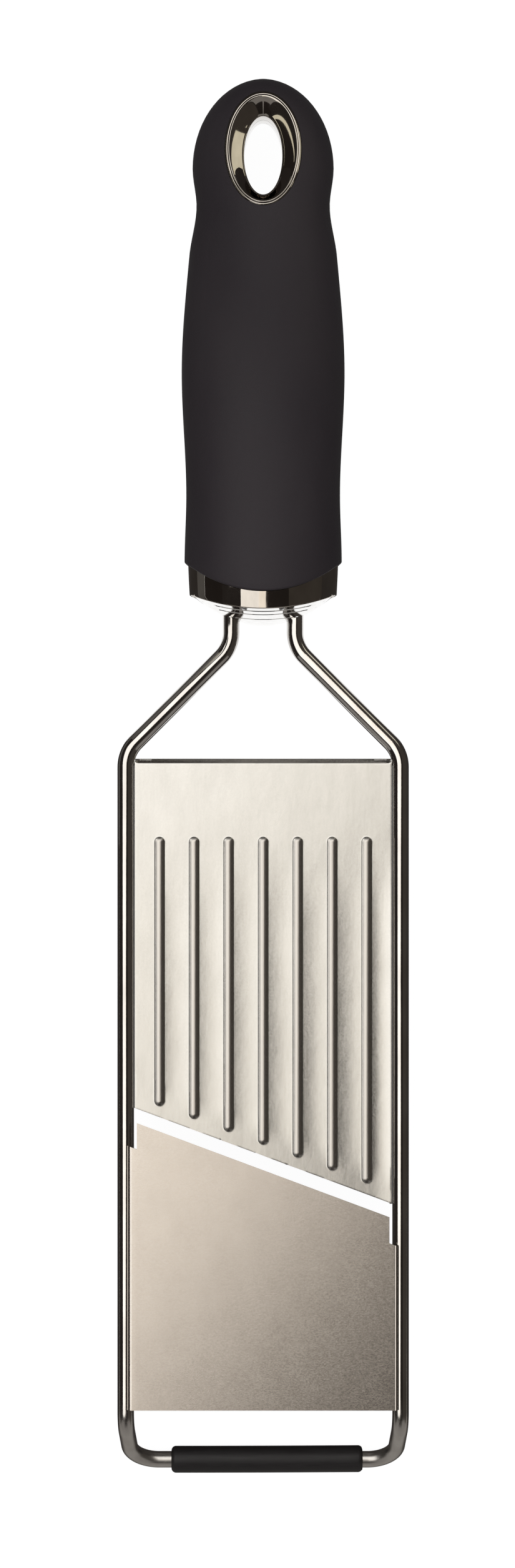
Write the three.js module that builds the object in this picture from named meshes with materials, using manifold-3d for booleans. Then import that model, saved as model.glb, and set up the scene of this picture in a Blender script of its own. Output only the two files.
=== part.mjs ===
// A handheld mandoline: one bent steel rod carries a ribbed runway plate and a slanted blade plate.
// The rod's two ends are held in a soft-grip handle, and a rubber foot sleeve covers its far crossbar.
// Millimetres. +Y runs up the handle, +X to the right and +Z out of the slicing face.
// The tool lies on its back on the handle's belly and the foot, and the origin is on the surface below,
// under the middle of the tool's box.

import * as THREE from "three";
import { mergeVertices } from "three/addons/utils/BufferGeometryUtils.js";
import Module from "manifold-3d";

const wasm = await Module();
wasm.setup();

// Clearance between pieces that seat on each other
const FIT_GAP = 0.3;

// Rod frame
const ROD_DIAMETER = 3.8;
const NECK_SPACING = 14.6; // between the rod's centres where it enters the handle
const SIDE_SPACING = 62.9; // between the rod's centres beside the plates
const NECK_DROP = 11.6; // from the ferrule's rim down to the corner of the neck bend
const SPREAD_ANGLE = THREE.MathUtils.degToRad(45); // of the shoulders from the handle's axis
const SHOULDER_RADIUS = 8; // of the neck and shoulder bends, on the rod's centre line
const FOOT_REACH = 12.2; // from the start of the foot bend to the crossbar's centre, along the tool
const FOOT_BEND_RADIUS = 6;
const FOOT_CORNER_RADIUS = 6.1;
const FOOT_LEAN = 1.2; // how far each leg leans inwards on its way down to the crossbar
const ROD_INSERT = 48; // how far the rod goes up into the handle from the ferrule's rim
const PADDLE_WIDTH = 5.4; // the rod's flattened ends, which stop it pulling out of the handle
const PADDLE_THICKNESS = 2.4;
const PADDLE_LENGTH = 9;

// Sheet metal plates
const SHEET = 0.6;
const RUNWAY_BELOW_SHOULDER = 1.4; // from the corner of the shoulder bend to the runway's top edge
const RUNWAY_LENGTH = 90.8; // along the tool's middle line
const RUNWAY_TOP_BEND = 0.8; // inside radius of the turned-down top edge
const SIDE_BEND = 0.2; // inside radius of both plates' turned-down sides
const RUNWAY_FLANGE = 2.6; // how deep the runway's turned-down edges are
const SLANT = THREE.MathUtils.degToRad(20.4); // of the blade and of the runway's lower edge
const SLOT_WIDTH = 2.75; // between runway and blade, square to the blade
const SLICE_STEP = 2; // how far the blade stands above the runway
const BLADE_LENGTH = 55.1; // along the tool's middle line
const BLADE_SIDE_ROOM = 0.7; // between the rods and the free part with the cutting edge
const BLADE_NECK = 6; // from the cutting edge to the side tabs, along the tool
const BLADE_BEVEL = 1.8; // width of the ground bevel, on the underside
const BLADE_EDGE = 0.12; // thickness left at the cutting edge
const BLADE_OVERLAP = 0.9; // how far the blade plate's turned edges reach over the rods
const BLADE_FLANGE = 0.1; // straight part of the blade plate's turned-down sides
const BLADE_TO_BEND = 0.6; // straight rod left between the blade plate's end and the foot bend

// Runway ribs
const RIB_COUNT = 7;
const RIB_SIDE_MARGIN = 5.55; // from the outermost ribs' middles to the runway's sides
const RIB_WIDTH = 2.45;
const RIB_HEIGHT = 0.5;
const RIB_TOP_MARGIN = 17.8; // from the runway's top edge to the ribs' upper ends
const RIB_SLOT_MARGIN = 3.1; // from the ribs' lower ends to the slanted edge, along the tool

// Handle, measured up from the ferrule's rim at the sides
const HANDLE_LENGTH = 118.1;
const HEAD_HALF_LENGTH = 20.4;
const HEAD_WIDTH = 32.3;
const HEAD_THICKNESS = 23;
const NECK_WIDTH = 30.5;
const NECK_THICKNESS = 23.6;
const NECK_BELOW_HEAD = 8.5; // from the middle of the head down to the narrowest place
const FLARE_WIDTH = 33.8; // a little below the neck, where the grip swells again
const FLARE_THICKNESS = 26.2;
const FLARE_BELOW_NECK = 11.4;
const BELLY_WIDTH = 37.3;
const BELLY_THICKNESS = 30.6;
const BELLY_HEIGHT = 51;
const WAIST_WIDTH = 35.2;
const WAIST_THICKNESS = 28.2;
const WAIST_HEIGHT = 23;
const SKIRT_WIDTH = 36;
const SKIRT_THICKNESS = 28.8;
const SKIRT_HEIGHT = 7.8; // of the grip's lower edge at the sides
const SKIRT_DIP = 6.6; // how far that edge dips in the middle of the front and back
const SECTION_POWER = 2.1; // of the superellipse that is the handle's cross-section
const HEAD_END_POWER = 3; // how blunt the head's end is in side view
const GRIP_WALL = 2.2;

// Ferrule
const FERRULE_WALL = 1.5;
const FERRULE_TAPER = 0.5; // how much narrower the ferrule's foot is than the grip's skirt
const RIM_DIP = 3; // how far the rim dips in the middle of the front and back
const RIM_LEDGE = 0.8; // between the rim and the domed end
const DOME_RISE = 6; // from the rim's sides to the top of the dome
const DOME_RADIUS = 26;

// Core pegs that hold the two core halves in line
const PEG_DIAMETER = 3;
const PEG_LENGTH = 3;
const LOWER_PEG_HEIGHT = 13;
const UPPER_PEG_BELOW_NECK = 13;

// Hanging eyelet
const EYE_ABOVE_HEAD = 3.65; // from the middle of the head up to the rim's centre
const EYE_WIDTH = 17.5;
const EYE_LENGTH = 26.1;
const EYE_RIM = 0.7;
const EYE_PROUD = 0.25; // how far the rim stands out of the grip
const EYE_WALL = 1.4;
const EYE_FLOOR = 2; // thickness under the hole's edge
const HOLE_WIDTH = 8.7;
const HOLE_LENGTH = 18;
const HOLE_DROP = 1.45; // how far the hole sits below the rim's centre
const DISH_DEPTH = 2.9; // from the head's front down to the hole's edge
const DISH_POWER = 1.2; // how hollow the dish is: 1 would be a straight cone

// Foot sleeve
const FOOT_DIAMETER = 6.2;
const FOOT_BARE_LEFT = 3; // straight rod left bare between each corner bend and the sleeve
const FOOT_BARE_RIGHT = 1.2;
const FOOT_END_RADIUS = 1.1;

// Facets
const ROD_SIDES = 16;
const BEND_STEP = THREE.MathUtils.degToRad(11.5);
const HANDLE_SIDES = 32;
const CORE_SIDES = 24;
const HEAD_RINGS = 8;
const RINGS_PER_SPAN = 3;
const ROUND_SIDES = 32;
const FOOT_SIDES = 24;
const ARC_STEPS = 4; // in a quarter turn

// Places that follow from the dimensions, over the ferrule's rim and the rod plane
const rodRadius = ROD_DIAMETER / 2;
const neckHalf = NECK_SPACING / 2;
const sideHalf = SIDE_SPACING / 2;
const shoulderY = -NECK_DROP - (sideHalf - neckHalf) / Math.tan(SPREAD_ANGLE);
const runwayTopY = shoulderY - RUNWAY_BELOW_SHOULDER;
const runwayHalf = sideHalf - rodRadius - FIT_GAP;
const runwayEdgeY = runwayTopY - RUNWAY_LENGTH;
const bladeEdgeY = runwayEdgeY - SLOT_WIDTH / Math.cos(SLANT);
const bladeEndY = bladeEdgeY - BLADE_LENGTH;
const bladeHalf = sideHalf - rodRadius + BLADE_OVERLAP;
const bladeFreeHalf = sideHalf - rodRadius - BLADE_SIDE_ROOM;
const rodTopAtBlade = Math.sqrt(rodRadius ** 2 - (sideHalf - bladeHalf) ** 2);
const bladeFlangeZ = rodTopAtBlade + FIT_GAP;
const bladeTopZ = bladeFlangeZ + BLADE_FLANGE + SIDE_BEND + SHEET;
const runwayTopZ = bladeTopZ - SLICE_STEP;
const footBendY = bladeEndY - BLADE_TO_BEND;
const crossbarY = footBendY - FOOT_REACH;
const footRadius = FOOT_DIAMETER / 2;
const restDepth = BELLY_THICKNESS / 2;
const footDrop = restDepth - footRadius;
const footLowX = -sideHalf + FOOT_LEAN + FOOT_CORNER_RADIUS + FOOT_BARE_LEFT;
const footHighX = sideHalf - FOOT_LEAN - FOOT_CORNER_RADIUS - FOOT_BARE_RIGHT;
const headY = HANDLE_LENGTH - HEAD_HALF_LENGTH;
const neckY = headY - NECK_BELOW_HEAD;
const eyeY = headY + EYE_ABOVE_HEAD;
const holeY = eyeY - HOLE_DROP;
const holeEdgeZ = HEAD_THICKNESS / 2 - DISH_DEPTH;
const eyeSeatZ = holeEdgeZ - EYE_FLOOR;
const pegHeights = [LOWER_PEG_HEIGHT, neckY - UPPER_PEG_BELOW_NECK];

// Solids

function solid(geometry) {
  const bare = geometry.clone();
  bare.deleteAttribute("normal");
  bare.deleteAttribute("uv");
  const merged = mergeVertices(bare, 1e-4);
  const corners = merged.index.array;
  const triVerts = [];
  for (let i = 0; i < corners.length; i += 3) {
    const [a, b, c] = corners.slice(i, i + 3);
    if (a !== b && b !== c && c !== a) triVerts.push(a, b, c);
  }
  return new wasm.Manifold(
    new wasm.Mesh({
      numProp: 3,
      vertProperties: new Float32Array(merged.attributes.position.array),
      triVerts: new Uint32Array(triVerts),
    }),
  );
}

function geometryOf(made) {
  const mesh = made.getMesh();
  const geometry = new THREE.BufferGeometry();
  geometry.setAttribute("position", new THREE.BufferAttribute(mesh.vertProperties, 3));
  geometry.setIndex(new THREE.BufferAttribute(mesh.triVerts, 1));
  geometry.computeVertexNormals();
  return geometry;
}

function block(low, high) {
  const size = new THREE.Vector3().subVectors(high, low);
  const geometry = new THREE.BoxGeometry(size.x, size.y, size.z);
  geometry.translate(...new THREE.Vector3().addVectors(low, high).multiplyScalar(0.5));
  return solid(geometry);
}

// A prism of a shape drawn in X and Y, from one height to another, with a number of facets for each arc.
function prism(shape, lowZ, highZ, arcFacets = ARC_STEPS) {
  const geometry = new THREE.ExtrudeGeometry(shape, {
    depth: highZ - lowZ,
    bevelEnabled: false,
    curveSegments: arcFacets / 2,
  });
  geometry.translate(0, 0, lowZ);
  return solid(geometry);
}

// A closed skin through rings of points, closed at its two ends, or end to end where it is a loop.
function loft(rings, loop = false) {
  const count = rings[0].length;
  const points = rings.flat();
  const index = [];
  const spans = loop ? rings.length : rings.length - 1;
  for (let r = 0; r < spans; r++) {
    const near = r * count;
    const far = ((r + 1) % rings.length) * count;
    for (let i = 0; i < count; i++) {
      const j = (i + 1) % count;
      index.push(near + i, near + j, far + j, near + i, far + j, far + i);
    }
  }
  if (!loop) {
    const last = (rings.length - 1) * count;
    for (let i = 1; i + 1 < count; i++) {
      index.push(0, i + 1, i, last, last + i, last + i + 1);
    }
  }
  const geometry = new THREE.BufferGeometry().setFromPoints(points);
  geometry.setIndex(index);
  return geometry;
}

// Bent rod

// A centre line of straight runs joined by round bends, with a station at each end of a run and along
// each bend, so that the straight runs take no extra facets.
class BentLine extends THREE.Curve {
  constructor(corners) {
    super();
    this.stations = [];
    const first = corners[0].point;
    const last = corners[corners.length - 1].point;
    this.addStation(first, new THREE.Vector3().subVectors(corners[1].point, first));
    for (let i = 1; i + 1 < corners.length; i++) {
      this.addBend(corners[i - 1].point, corners[i], corners[i + 1].point);
    }
    this.addStation(last, new THREE.Vector3().subVectors(last, corners[corners.length - 2].point));
  }

  addStation(point, tangent) {
    this.stations.push({ point: point.clone(), tangent: tangent.clone().normalize() });
  }

  addBend(before, { point, radius }, after) {
    const into = new THREE.Vector3().subVectors(point, before).normalize();
    const out = new THREE.Vector3().subVectors(after, point).normalize();
    const turn = into.angleTo(out);
    const axis = new THREE.Vector3().crossVectors(into, out).normalize();
    const toCentre = new THREE.Vector3().crossVectors(axis, into);
    const start = point.clone().addScaledVector(into, -radius * Math.tan(turn / 2));
    const centre = start.clone().addScaledVector(toCentre, radius);
    const steps = Math.ceil(turn / BEND_STEP);
    for (let k = 0; k <= steps; k++) {
      const angle = (turn * k) / steps;
      const spoke = start.clone().sub(centre).applyAxisAngle(axis, angle);
      this.addStation(centre.clone().add(spoke), into.clone().applyAxisAngle(axis, angle));
    }
  }

  get steps() {
    return this.stations.length - 1;
  }

  getPointAt(u) {
    return this.stations[Math.round(u * this.steps)].point.clone();
  }

  getTangentAt(u) {
    return this.stations[Math.round(u * this.steps)].tangent.clone();
  }
}

function rodLine() {
  const half = [
    { point: new THREE.Vector3(neckHalf, ROD_INSERT, 0), radius: 0 },
    { point: new THREE.Vector3(neckHalf, -NECK_DROP, 0), radius: SHOULDER_RADIUS },
    { point: new THREE.Vector3(sideHalf, shoulderY, 0), radius: SHOULDER_RADIUS },
    { point: new THREE.Vector3(sideHalf, footCornerStart(), 0), radius: FOOT_BEND_RADIUS },
    { point: new THREE.Vector3(sideHalf - FOOT_LEAN, crossbarY, -footDrop), radius: FOOT_CORNER_RADIUS },
  ];
  const mirrored = half.map(({ point, radius }) => ({
    point: new THREE.Vector3(-point.x, point.y, point.z),
    radius,
  }));
  return new BentLine([...half, ...mirrored.reverse()]);
}

// Where the rod's side run would meet the leg, so that the bend between them starts at footBendY.
function footCornerStart() {
  let cornerY = footBendY;
  for (let k = 0; k < 20; k++) {
    const turn = Math.atan2(footDrop, cornerY - crossbarY);
    cornerY = footBendY - FOOT_BEND_RADIUS * Math.tan(turn / 2);
  }
  return cornerY;
}

// The rod with its flattened ends, or the room that it needs in what it passes through.
function rodSolid(room = 0) {
  const section = new THREE.Shape().absarc(0, 0, rodRadius + room, 0, 2 * Math.PI);
  const line = rodLine();
  const tube = new THREE.ExtrudeGeometry(section, {
    steps: line.steps,
    curveSegments: ROD_SIDES / 2,
    extrudePath: line,
  });
  let rod = solid(tube);
  for (const side of [-1, 1]) {
    const low = new THREE.Vector3(
      side * neckHalf - PADDLE_WIDTH / 2 - room,
      ROD_INSERT - PADDLE_LENGTH - room,
      -PADDLE_THICKNESS / 2 - room,
    );
    const high = new THREE.Vector3(
      side * neckHalf + PADDLE_WIDTH / 2 + room,
      ROD_INSERT + room,
      PADDLE_THICKNESS / 2 + room,
    );
    rod = rod.add(block(low, high));
  }
  return rod;
}

// Handle outline

// A smooth line through points, level at each peak and dip between its neighbours.
function smoothLine(points) {
  const slopes = points.map(([x, y], i) => {
    if (i === 0 || i === points.length - 1) return 0;
    const [x0, y0] = points[i - 1];
    const [x1, y1] = points[i + 1];
    const before = (y - y0) / (x - x0);
    const after = (y1 - y) / (x1 - x);
    return before * after <= 0 ? 0 : (2 * before * after) / (before + after);
  });
  return (x) => {
    let i = 0;
    while (i + 2 < points.length && x > points[i + 1][0]) i++;
    const [x0, y0] = points[i];
    const [x1, y1] = points[i + 1];
    const span = x1 - x0;
    const t = THREE.MathUtils.clamp((x - x0) / span, 0, 1);
    const rise = t * t * (3 - 2 * t);
    const bend = span * t * (1 - t) * (slopes[i] * (1 - t) - slopes[i + 1] * t);
    return y0 + (y1 - y0) * rise + bend;
  };
}

const handleHeights = [
  -DOME_RISE - FERRULE_WALL,
  SKIRT_HEIGHT,
  WAIST_HEIGHT,
  BELLY_HEIGHT,
  neckY - FLARE_BELOW_NECK,
  neckY,
  headY,
];
const handleWidths = [
  SKIRT_WIDTH - FERRULE_TAPER,
  SKIRT_WIDTH,
  WAIST_WIDTH,
  BELLY_WIDTH,
  FLARE_WIDTH,
  NECK_WIDTH,
  HEAD_WIDTH,
];
const handleThicknesses = [
  SKIRT_THICKNESS - FERRULE_TAPER,
  SKIRT_THICKNESS,
  WAIST_THICKNESS,
  BELLY_THICKNESS,
  FLARE_THICKNESS,
  NECK_THICKNESS,
  HEAD_THICKNESS,
];
const halfWidthAt = smoothLine(handleHeights.map((y, i) => [y, handleWidths[i] / 2]));
const halfThicknessAt = smoothLine(handleHeights.map((y, i) => [y, handleThicknesses[i] / 2]));

// Half width and half thickness of the handle's section at a height, drawn in by an inset.
function handleSection(y, inset) {
  if (y <= headY) return [halfWidthAt(y) - inset, halfThicknessAt(y) - inset];
  const u = Math.min((y - headY) / (HEAD_HALF_LENGTH - inset), 1);
  const width = (HEAD_WIDTH / 2 - inset) * Math.sqrt(1 - u ** 2);
  const thickness = (HEAD_THICKNESS / 2 - inset) * (1 - u ** HEAD_END_POWER) ** (1 / HEAD_END_POWER);
  return [width, thickness];
}

// Height of the grip's front surface over the rod plane.
function gripSurface(x, y) {
  const [halfWidth, halfThickness] = handleSection(y, 0);
  const across = Math.min(Math.abs(x) / halfWidth, 1);
  return halfThickness * (1 - across ** SECTION_POWER) ** (1 / SECTION_POWER);
}

function handleRing(y, inset, sides) {
  const [halfWidth, halfThickness] = handleSection(y, inset);
  const power = 2 / SECTION_POWER;
  const ring = [];
  for (let i = 0; i < sides; i++) {
    const angle = (-2 * Math.PI * i) / sides;
    const cos = Math.cos(angle);
    const sin = Math.sin(angle);
    const x = halfWidth * Math.sign(cos) * Math.abs(cos) ** power;
    const z = halfThickness * Math.sign(sin) * Math.abs(sin) ** power;
    ring.push(new THREE.Vector3(x, y, z));
  }
  return ring;
}

// The whole handle's form, drawn in by an inset.
function handleForm(inset, sides) {
  const heights = [];
  for (let i = 0; i + 1 < handleHeights.length; i++) {
    for (let k = 0; k < RINGS_PER_SPAN; k++) {
      heights.push(THREE.MathUtils.lerp(handleHeights[i], handleHeights[i + 1], k / RINGS_PER_SPAN));
    }
  }
  for (let k = 0; k <= HEAD_RINGS; k++) {
    const u = Math.sin((k / HEAD_RINGS) * (Math.PI / 2));
    heights.push(headY + u * (HEAD_HALF_LENGTH - inset));
  }
  return solid(loft(heights.map((y) => handleRing(y, inset, sides))));
}

// All that lies below an arc that dips to lowY in the middle, seen from the front.
function belowArc(lowY, dip, halfWidth) {
  const radius = (halfWidth ** 2 + dip ** 2) / (2 * dip);
  const reach = halfWidth + GRIP_WALL;
  const centreY = lowY + radius;
  const edge = Math.asin(Math.min(reach / radius, 1));
  const floorY = lowY - HANDLE_LENGTH;
  const shape = new THREE.Shape();
  shape.moveTo(-radius * Math.sin(edge), floorY);
  shape.lineTo(radius * Math.sin(edge), floorY);
  shape.absarc(0, centreY, radius, -Math.PI / 2 + edge, -Math.PI / 2 - edge, true);
  return prism(shape, -BELLY_THICKNESS, BELLY_THICKNESS, ROUND_SIDES / 2);
}

// A round-ended bar along the handle whose spherical end bulges down to lowY.
function bullet(radius, lowY) {
  const profile = [];
  for (let k = 0; k <= ROUND_SIDES / 4; k++) {
    const angle = (k / (ROUND_SIDES / 4)) * (Math.PI / 2);
    profile.push(new THREE.Vector2(radius * Math.sin(angle), lowY + radius * (1 - Math.cos(angle))));
  }
  profile.push(new THREE.Vector2(radius, 2 * HANDLE_LENGTH));
  profile.push(new THREE.Vector2(0, 2 * HANDLE_LENGTH));
  return solid(new THREE.LatheGeometry(profile, ROUND_SIDES));
}

// An oval bar right through the handle's head, or from one height to another.
function ovalBar(width, length, centreY, lowZ, highZ) {
  const shape = new THREE.Shape().absellipse(0, centreY, width / 2, length / 2, 0, 2 * Math.PI);
  return prism(shape, lowZ, highZ, ROUND_SIDES);
}

// Room for the eyelets in the grip and the core.
function eyeRoom() {
  const far = BELLY_THICKNESS;
  const tubeWidth = HOLE_WIDTH + 2 * (EYE_WALL + FIT_GAP);
  const tubeLength = HOLE_LENGTH + 2 * (EYE_WALL + FIT_GAP);
  const dishWidth = EYE_WIDTH + 2 * FIT_GAP;
  const dishLength = EYE_LENGTH + 2 * FIT_GAP;
  return ovalBar(tubeWidth, tubeLength, holeY, -far, far)
    .add(ovalBar(dishWidth, dishLength, eyeY, eyeSeatZ - FIT_GAP, far))
    .add(ovalBar(dishWidth, dishLength, eyeY, -far, -eyeSeatZ + FIT_GAP));
}

// Handle pieces

function softGrip() {
  return handleForm(0, HANDLE_SIDES)
    .subtract(handleForm(GRIP_WALL, CORE_SIDES))
    .subtract(belowArc(SKIRT_HEIGHT - SKIRT_DIP, SKIRT_DIP, SKIRT_WIDTH / 2))
    .subtract(eyeRoom());
}

const domeInside = DOME_RADIUS - FERRULE_WALL;

function ferrule() {
  const outside = handleForm(GRIP_WALL - FERRULE_WALL, HANDLE_SIDES);
  const dome = handleForm(GRIP_WALL - FERRULE_WALL + RIM_LEDGE, HANDLE_SIDES);
  const belowGrip = belowArc(SKIRT_HEIGHT - SKIRT_DIP - FIT_GAP, SKIRT_DIP, SKIRT_WIDTH / 2);
  const wall = outside.subtract(belowArc(-RIM_DIP, RIM_DIP, SKIRT_WIDTH / 2));
  const cavity = handleForm(GRIP_WALL, CORE_SIDES).intersect(bullet(domeInside, FERRULE_WALL - DOME_RISE));
  return wall
    .add(dome.intersect(bullet(DOME_RADIUS, -DOME_RISE)))
    .intersect(belowGrip)
    .subtract(cavity)
    .subtract(rodSolid(FIT_GAP));
}

function coreHalves() {
  const whole = handleForm(GRIP_WALL + FIT_GAP, CORE_SIDES)
    .intersect(bullet(domeInside - FIT_GAP, FERRULE_WALL + FIT_GAP - DOME_RISE))
    .subtract(rodSolid(FIT_GAP))
    .subtract(eyeRoom());
  const far = 2 * HANDLE_LENGTH;
  const front = whole.intersect(
    block(new THREE.Vector3(-far, -far, FIT_GAP / 2), new THREE.Vector3(far, far, far)),
  );
  const back = whole.intersect(
    block(new THREE.Vector3(-far, -far, -far), new THREE.Vector3(far, far, -FIT_GAP / 2)),
  );
  const pegs = pegHeights.map((y) => corePeg(y, PEG_DIAMETER / 2, PEG_LENGTH));
  const sockets = pegHeights.map((y) => corePeg(y, PEG_DIAMETER / 2 + FIT_GAP, PEG_LENGTH + FIT_GAP));
  return {
    front: pegs.reduce((made, peg) => made.add(peg), front),
    back: sockets.reduce((made, socket) => made.subtract(socket), back),
  };
}

// A peg on the handle's axis that crosses from the front half into the back half.
function corePeg(y, radius, length) {
  const geometry = new THREE.CylinderGeometry(radius, radius, 2 * length, CORE_SIDES / 2);
  geometry.rotateX(Math.PI / 2);
  geometry.translate(0, y, 0);
  return solid(geometry);
}

// One half of the eyelet: a shallow oval dish that leads into a straight-walled hole.
// Each ring of points is the outline of the wall cut at one angle round the hole.
function eyelet(side) {
  const oval = (width, length, centreY, angle) => [
    (width / 2) * Math.cos(angle),
    centreY + (length / 2) * Math.sin(angle),
  ];
  const rings = [];
  for (let i = 0; i < ROUND_SIDES; i++) {
    const angle = (-2 * Math.PI * i) / ROUND_SIDES;
    const rim = oval(EYE_WIDTH, EYE_LENGTH, eyeY, angle);
    const mouth = oval(EYE_WIDTH - 2 * EYE_RIM, EYE_LENGTH - 2 * EYE_RIM, eyeY, angle);
    const hole = oval(HOLE_WIDTH, HOLE_LENGTH, holeY, angle);
    const tube = oval(HOLE_WIDTH + 2 * EYE_WALL, HOLE_LENGTH + 2 * EYE_WALL, holeY, angle);
    const rimZ = gripSurface(...rim) + EYE_PROUD;
    const mouthZ = gripSurface(...mouth) + EYE_PROUD;
    const outline = [[...rim, eyeSeatZ], [...rim, rimZ], [...mouth, mouthZ]];
    for (let k = 1; k <= ARC_STEPS; k++) {
      const t = k / ARC_STEPS;
      const fall = 1 - (1 - t) ** DISH_POWER;
      const x = THREE.MathUtils.lerp(mouth[0], hole[0], t);
      const y = THREE.MathUtils.lerp(mouth[1], hole[1], t);
      outline.push([x, y, THREE.MathUtils.lerp(mouthZ, holeEdgeZ, fall)]);
    }
    outline.push([...hole, FIT_GAP / 2], [...tube, FIT_GAP / 2], [...tube, eyeSeatZ]);
    rings.push(outline.map(([x, y, z]) => new THREE.Vector3(x, y, z)));
  }
  const front = solid(loft(rings, true));
  return side > 0 ? front : front.mirror([0, 0, 1]);
}

// Sheet metal plates

// A slanted half plane below a line that crosses the tool's middle at crossY.
function belowSlant(crossY, lowZ, highZ) {
  const reach = SIDE_SPACING;
  const fall = reach * Math.tan(SLANT);
  const shape = new THREE.Shape();
  shape.moveTo(-reach, crossY + fall);
  shape.lineTo(-reach, crossY - RUNWAY_LENGTH - BLADE_LENGTH);
  shape.lineTo(reach, crossY - RUNWAY_LENGTH - BLADE_LENGTH);
  shape.lineTo(reach, crossY - fall);
  return prism(shape, lowZ, highZ);
}

// A solid bar along the tool whose two top edges are rounded.
function channel(half, topZ, lowZ, radius, lowY, highY) {
  const shape = new THREE.Shape();
  shape.moveTo(-half, lowZ);
  shape.lineTo(half, lowZ);
  shape.lineTo(half, topZ - radius);
  shape.absarc(half - radius, topZ - radius, radius, 0, Math.PI / 2, false);
  shape.lineTo(-half + radius, topZ);
  shape.absarc(-half + radius, topZ - radius, radius, Math.PI / 2, Math.PI, false);
  const geometry = new THREE.ExtrudeGeometry(shape, {
    depth: highY - lowY,
    bevelEnabled: false,
    curveSegments: ARC_STEPS / 2,
  });
  geometry.rotateX(Math.PI / 2);
  geometry.translate(0, highY, 0);
  return solid(geometry);
}

// A solid wedge of runway whose upper end is rounded, seen from the side.
function rolledEnd(endY, topZ, lowZ, radius) {
  const farY = endY - 2 * (RUNWAY_LENGTH + BLADE_LENGTH);
  const shape = new THREE.Shape();
  shape.moveTo(farY, lowZ);
  shape.lineTo(endY, lowZ);
  shape.lineTo(endY, topZ - radius);
  shape.absarc(endY - radius, topZ - radius, radius, 0, Math.PI / 2, false);
  shape.lineTo(farY, topZ);
  const geometry = new THREE.ExtrudeGeometry(shape, {
    depth: SIDE_SPACING,
    bevelEnabled: false,
    curveSegments: ARC_STEPS / 2,
  });
  geometry.rotateX(Math.PI / 2);
  geometry.rotateZ(Math.PI / 2);
  geometry.translate(-SIDE_SPACING / 2, 0, 0);
  return solid(geometry);
}

// A flattened capsule along the tool.
function capsule(x, highY, lowY, radius, height) {
  const length = highY - lowY - 2 * radius;
  const geometry = new THREE.CapsuleGeometry(radius, length, ARC_STEPS, 3 * ARC_STEPS);
  geometry.scale(1, 1, height / radius);
  geometry.translate(x, (highY + lowY) / 2, 0);
  return solid(geometry);
}

function aboveZ(made, z) {
  const far = 4 * HANDLE_LENGTH;
  return made.intersect(block(new THREE.Vector3(-far, -far, z), new THREE.Vector3(far, far, far)));
}

// The runway's outside, or what its sheet encloses, where it is drawn in by the sheet's thickness.
function runwayForm(inset) {
  const lowZ = runwayTopZ - RUNWAY_FLANGE;
  const topZ = runwayTopZ - inset;
  const farY = runwayEdgeY - SIDE_SPACING;
  const sideRadius = SIDE_BEND + SHEET - inset;
  const topRadius = RUNWAY_TOP_BEND + SHEET - inset;
  const across = channel(runwayHalf - inset, topZ, lowZ - inset, sideRadius, farY, runwayTopY);
  const along = rolledEnd(runwayTopY - inset, topZ, lowZ - inset, topRadius);
  return across.intersect(along);
}

// The ribs are pressed up out of the sheet, so each one is hollow below.
function runwayPlate() {
  const pitch = (2 * (runwayHalf - RIB_SIDE_MARGIN)) / (RIB_COUNT - 1);
  const ribTopY = runwayTopY - RIB_TOP_MARGIN;
  let plate = runwayForm(0).subtract(runwayForm(SHEET));
  for (let i = 0; i < RIB_COUNT; i++) {
    const x = (i - (RIB_COUNT - 1) / 2) * pitch;
    const ribEndY = runwayEdgeY + RIB_SLOT_MARGIN - x * Math.tan(SLANT);
    const outside = capsule(x, ribTopY, ribEndY, RIB_WIDTH / 2, RIB_HEIGHT);
    const inside = capsule(x, ribTopY - SHEET, ribEndY + SHEET, RIB_WIDTH / 2 - SHEET, RIB_HEIGHT);
    plate = plate
      .add(aboveZ(outside.translate([0, 0, runwayTopZ]), runwayTopZ - SHEET / 2))
      .subtract(inside.translate([0, 0, runwayTopZ - SHEET]));
  }
  return plate.subtract(belowSlant(runwayEdgeY, -BELLY_THICKNESS, BELLY_THICKNESS));
}

// The plate's sides are turned down onto the rods. Ahead of them a narrower tongue has the cutting edge.
function bladePlate() {
  const highY = bladeEdgeY + SIDE_SPACING;
  const underZ = bladeTopZ - SHEET;
  const radius = SIDE_BEND + SHEET;
  const outside = channel(bladeHalf, bladeTopZ, bladeFlangeZ, radius, bladeEndY, highY);
  const inside = channel(
    bladeHalf - SHEET,
    underZ,
    bladeFlangeZ - SHEET,
    SIDE_BEND,
    bladeEndY - SHEET,
    highY + SHEET,
  );
  const tongue = block(
    new THREE.Vector3(-bladeFreeHalf, bladeEndY, underZ),
    new THREE.Vector3(bladeFreeHalf, highY, bladeTopZ),
  );
  const belowTabs = belowSlant(bladeEdgeY - BLADE_NECK, bladeFlangeZ - SHEET, bladeTopZ + SHEET);
  const belowEdge = belowSlant(bladeEdgeY, bladeFlangeZ - SHEET, bladeTopZ + SHEET);
  return outside
    .subtract(inside)
    .intersect(belowTabs)
    .add(tongue.intersect(belowEdge))
    .subtract(bevelCut());
}

// What the grinder takes off the underside of the blade, along its edge.
function bevelCut() {
  const reach = SIDE_SPACING;
  const shape = new THREE.Shape();
  const grindDepth = SHEET - BLADE_EDGE;
  shape.moveTo(-BLADE_BEVEL, 0);
  shape.lineTo(-BLADE_BEVEL, -SHEET);
  shape.lineTo(SHEET, -SHEET);
  shape.lineTo(SHEET, (grindDepth * (BLADE_BEVEL + SHEET)) / BLADE_BEVEL);
  const geometry = new THREE.ExtrudeGeometry(shape, { depth: 2 * reach, bevelEnabled: false });
  geometry.translate(0, 0, -reach);
  geometry.rotateX(Math.PI / 2);
  geometry.rotateZ(Math.PI / 2 - SLANT);
  geometry.translate(0, bladeEdgeY, bladeTopZ - SHEET);
  return solid(geometry);
}

// Foot sleeve

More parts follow.
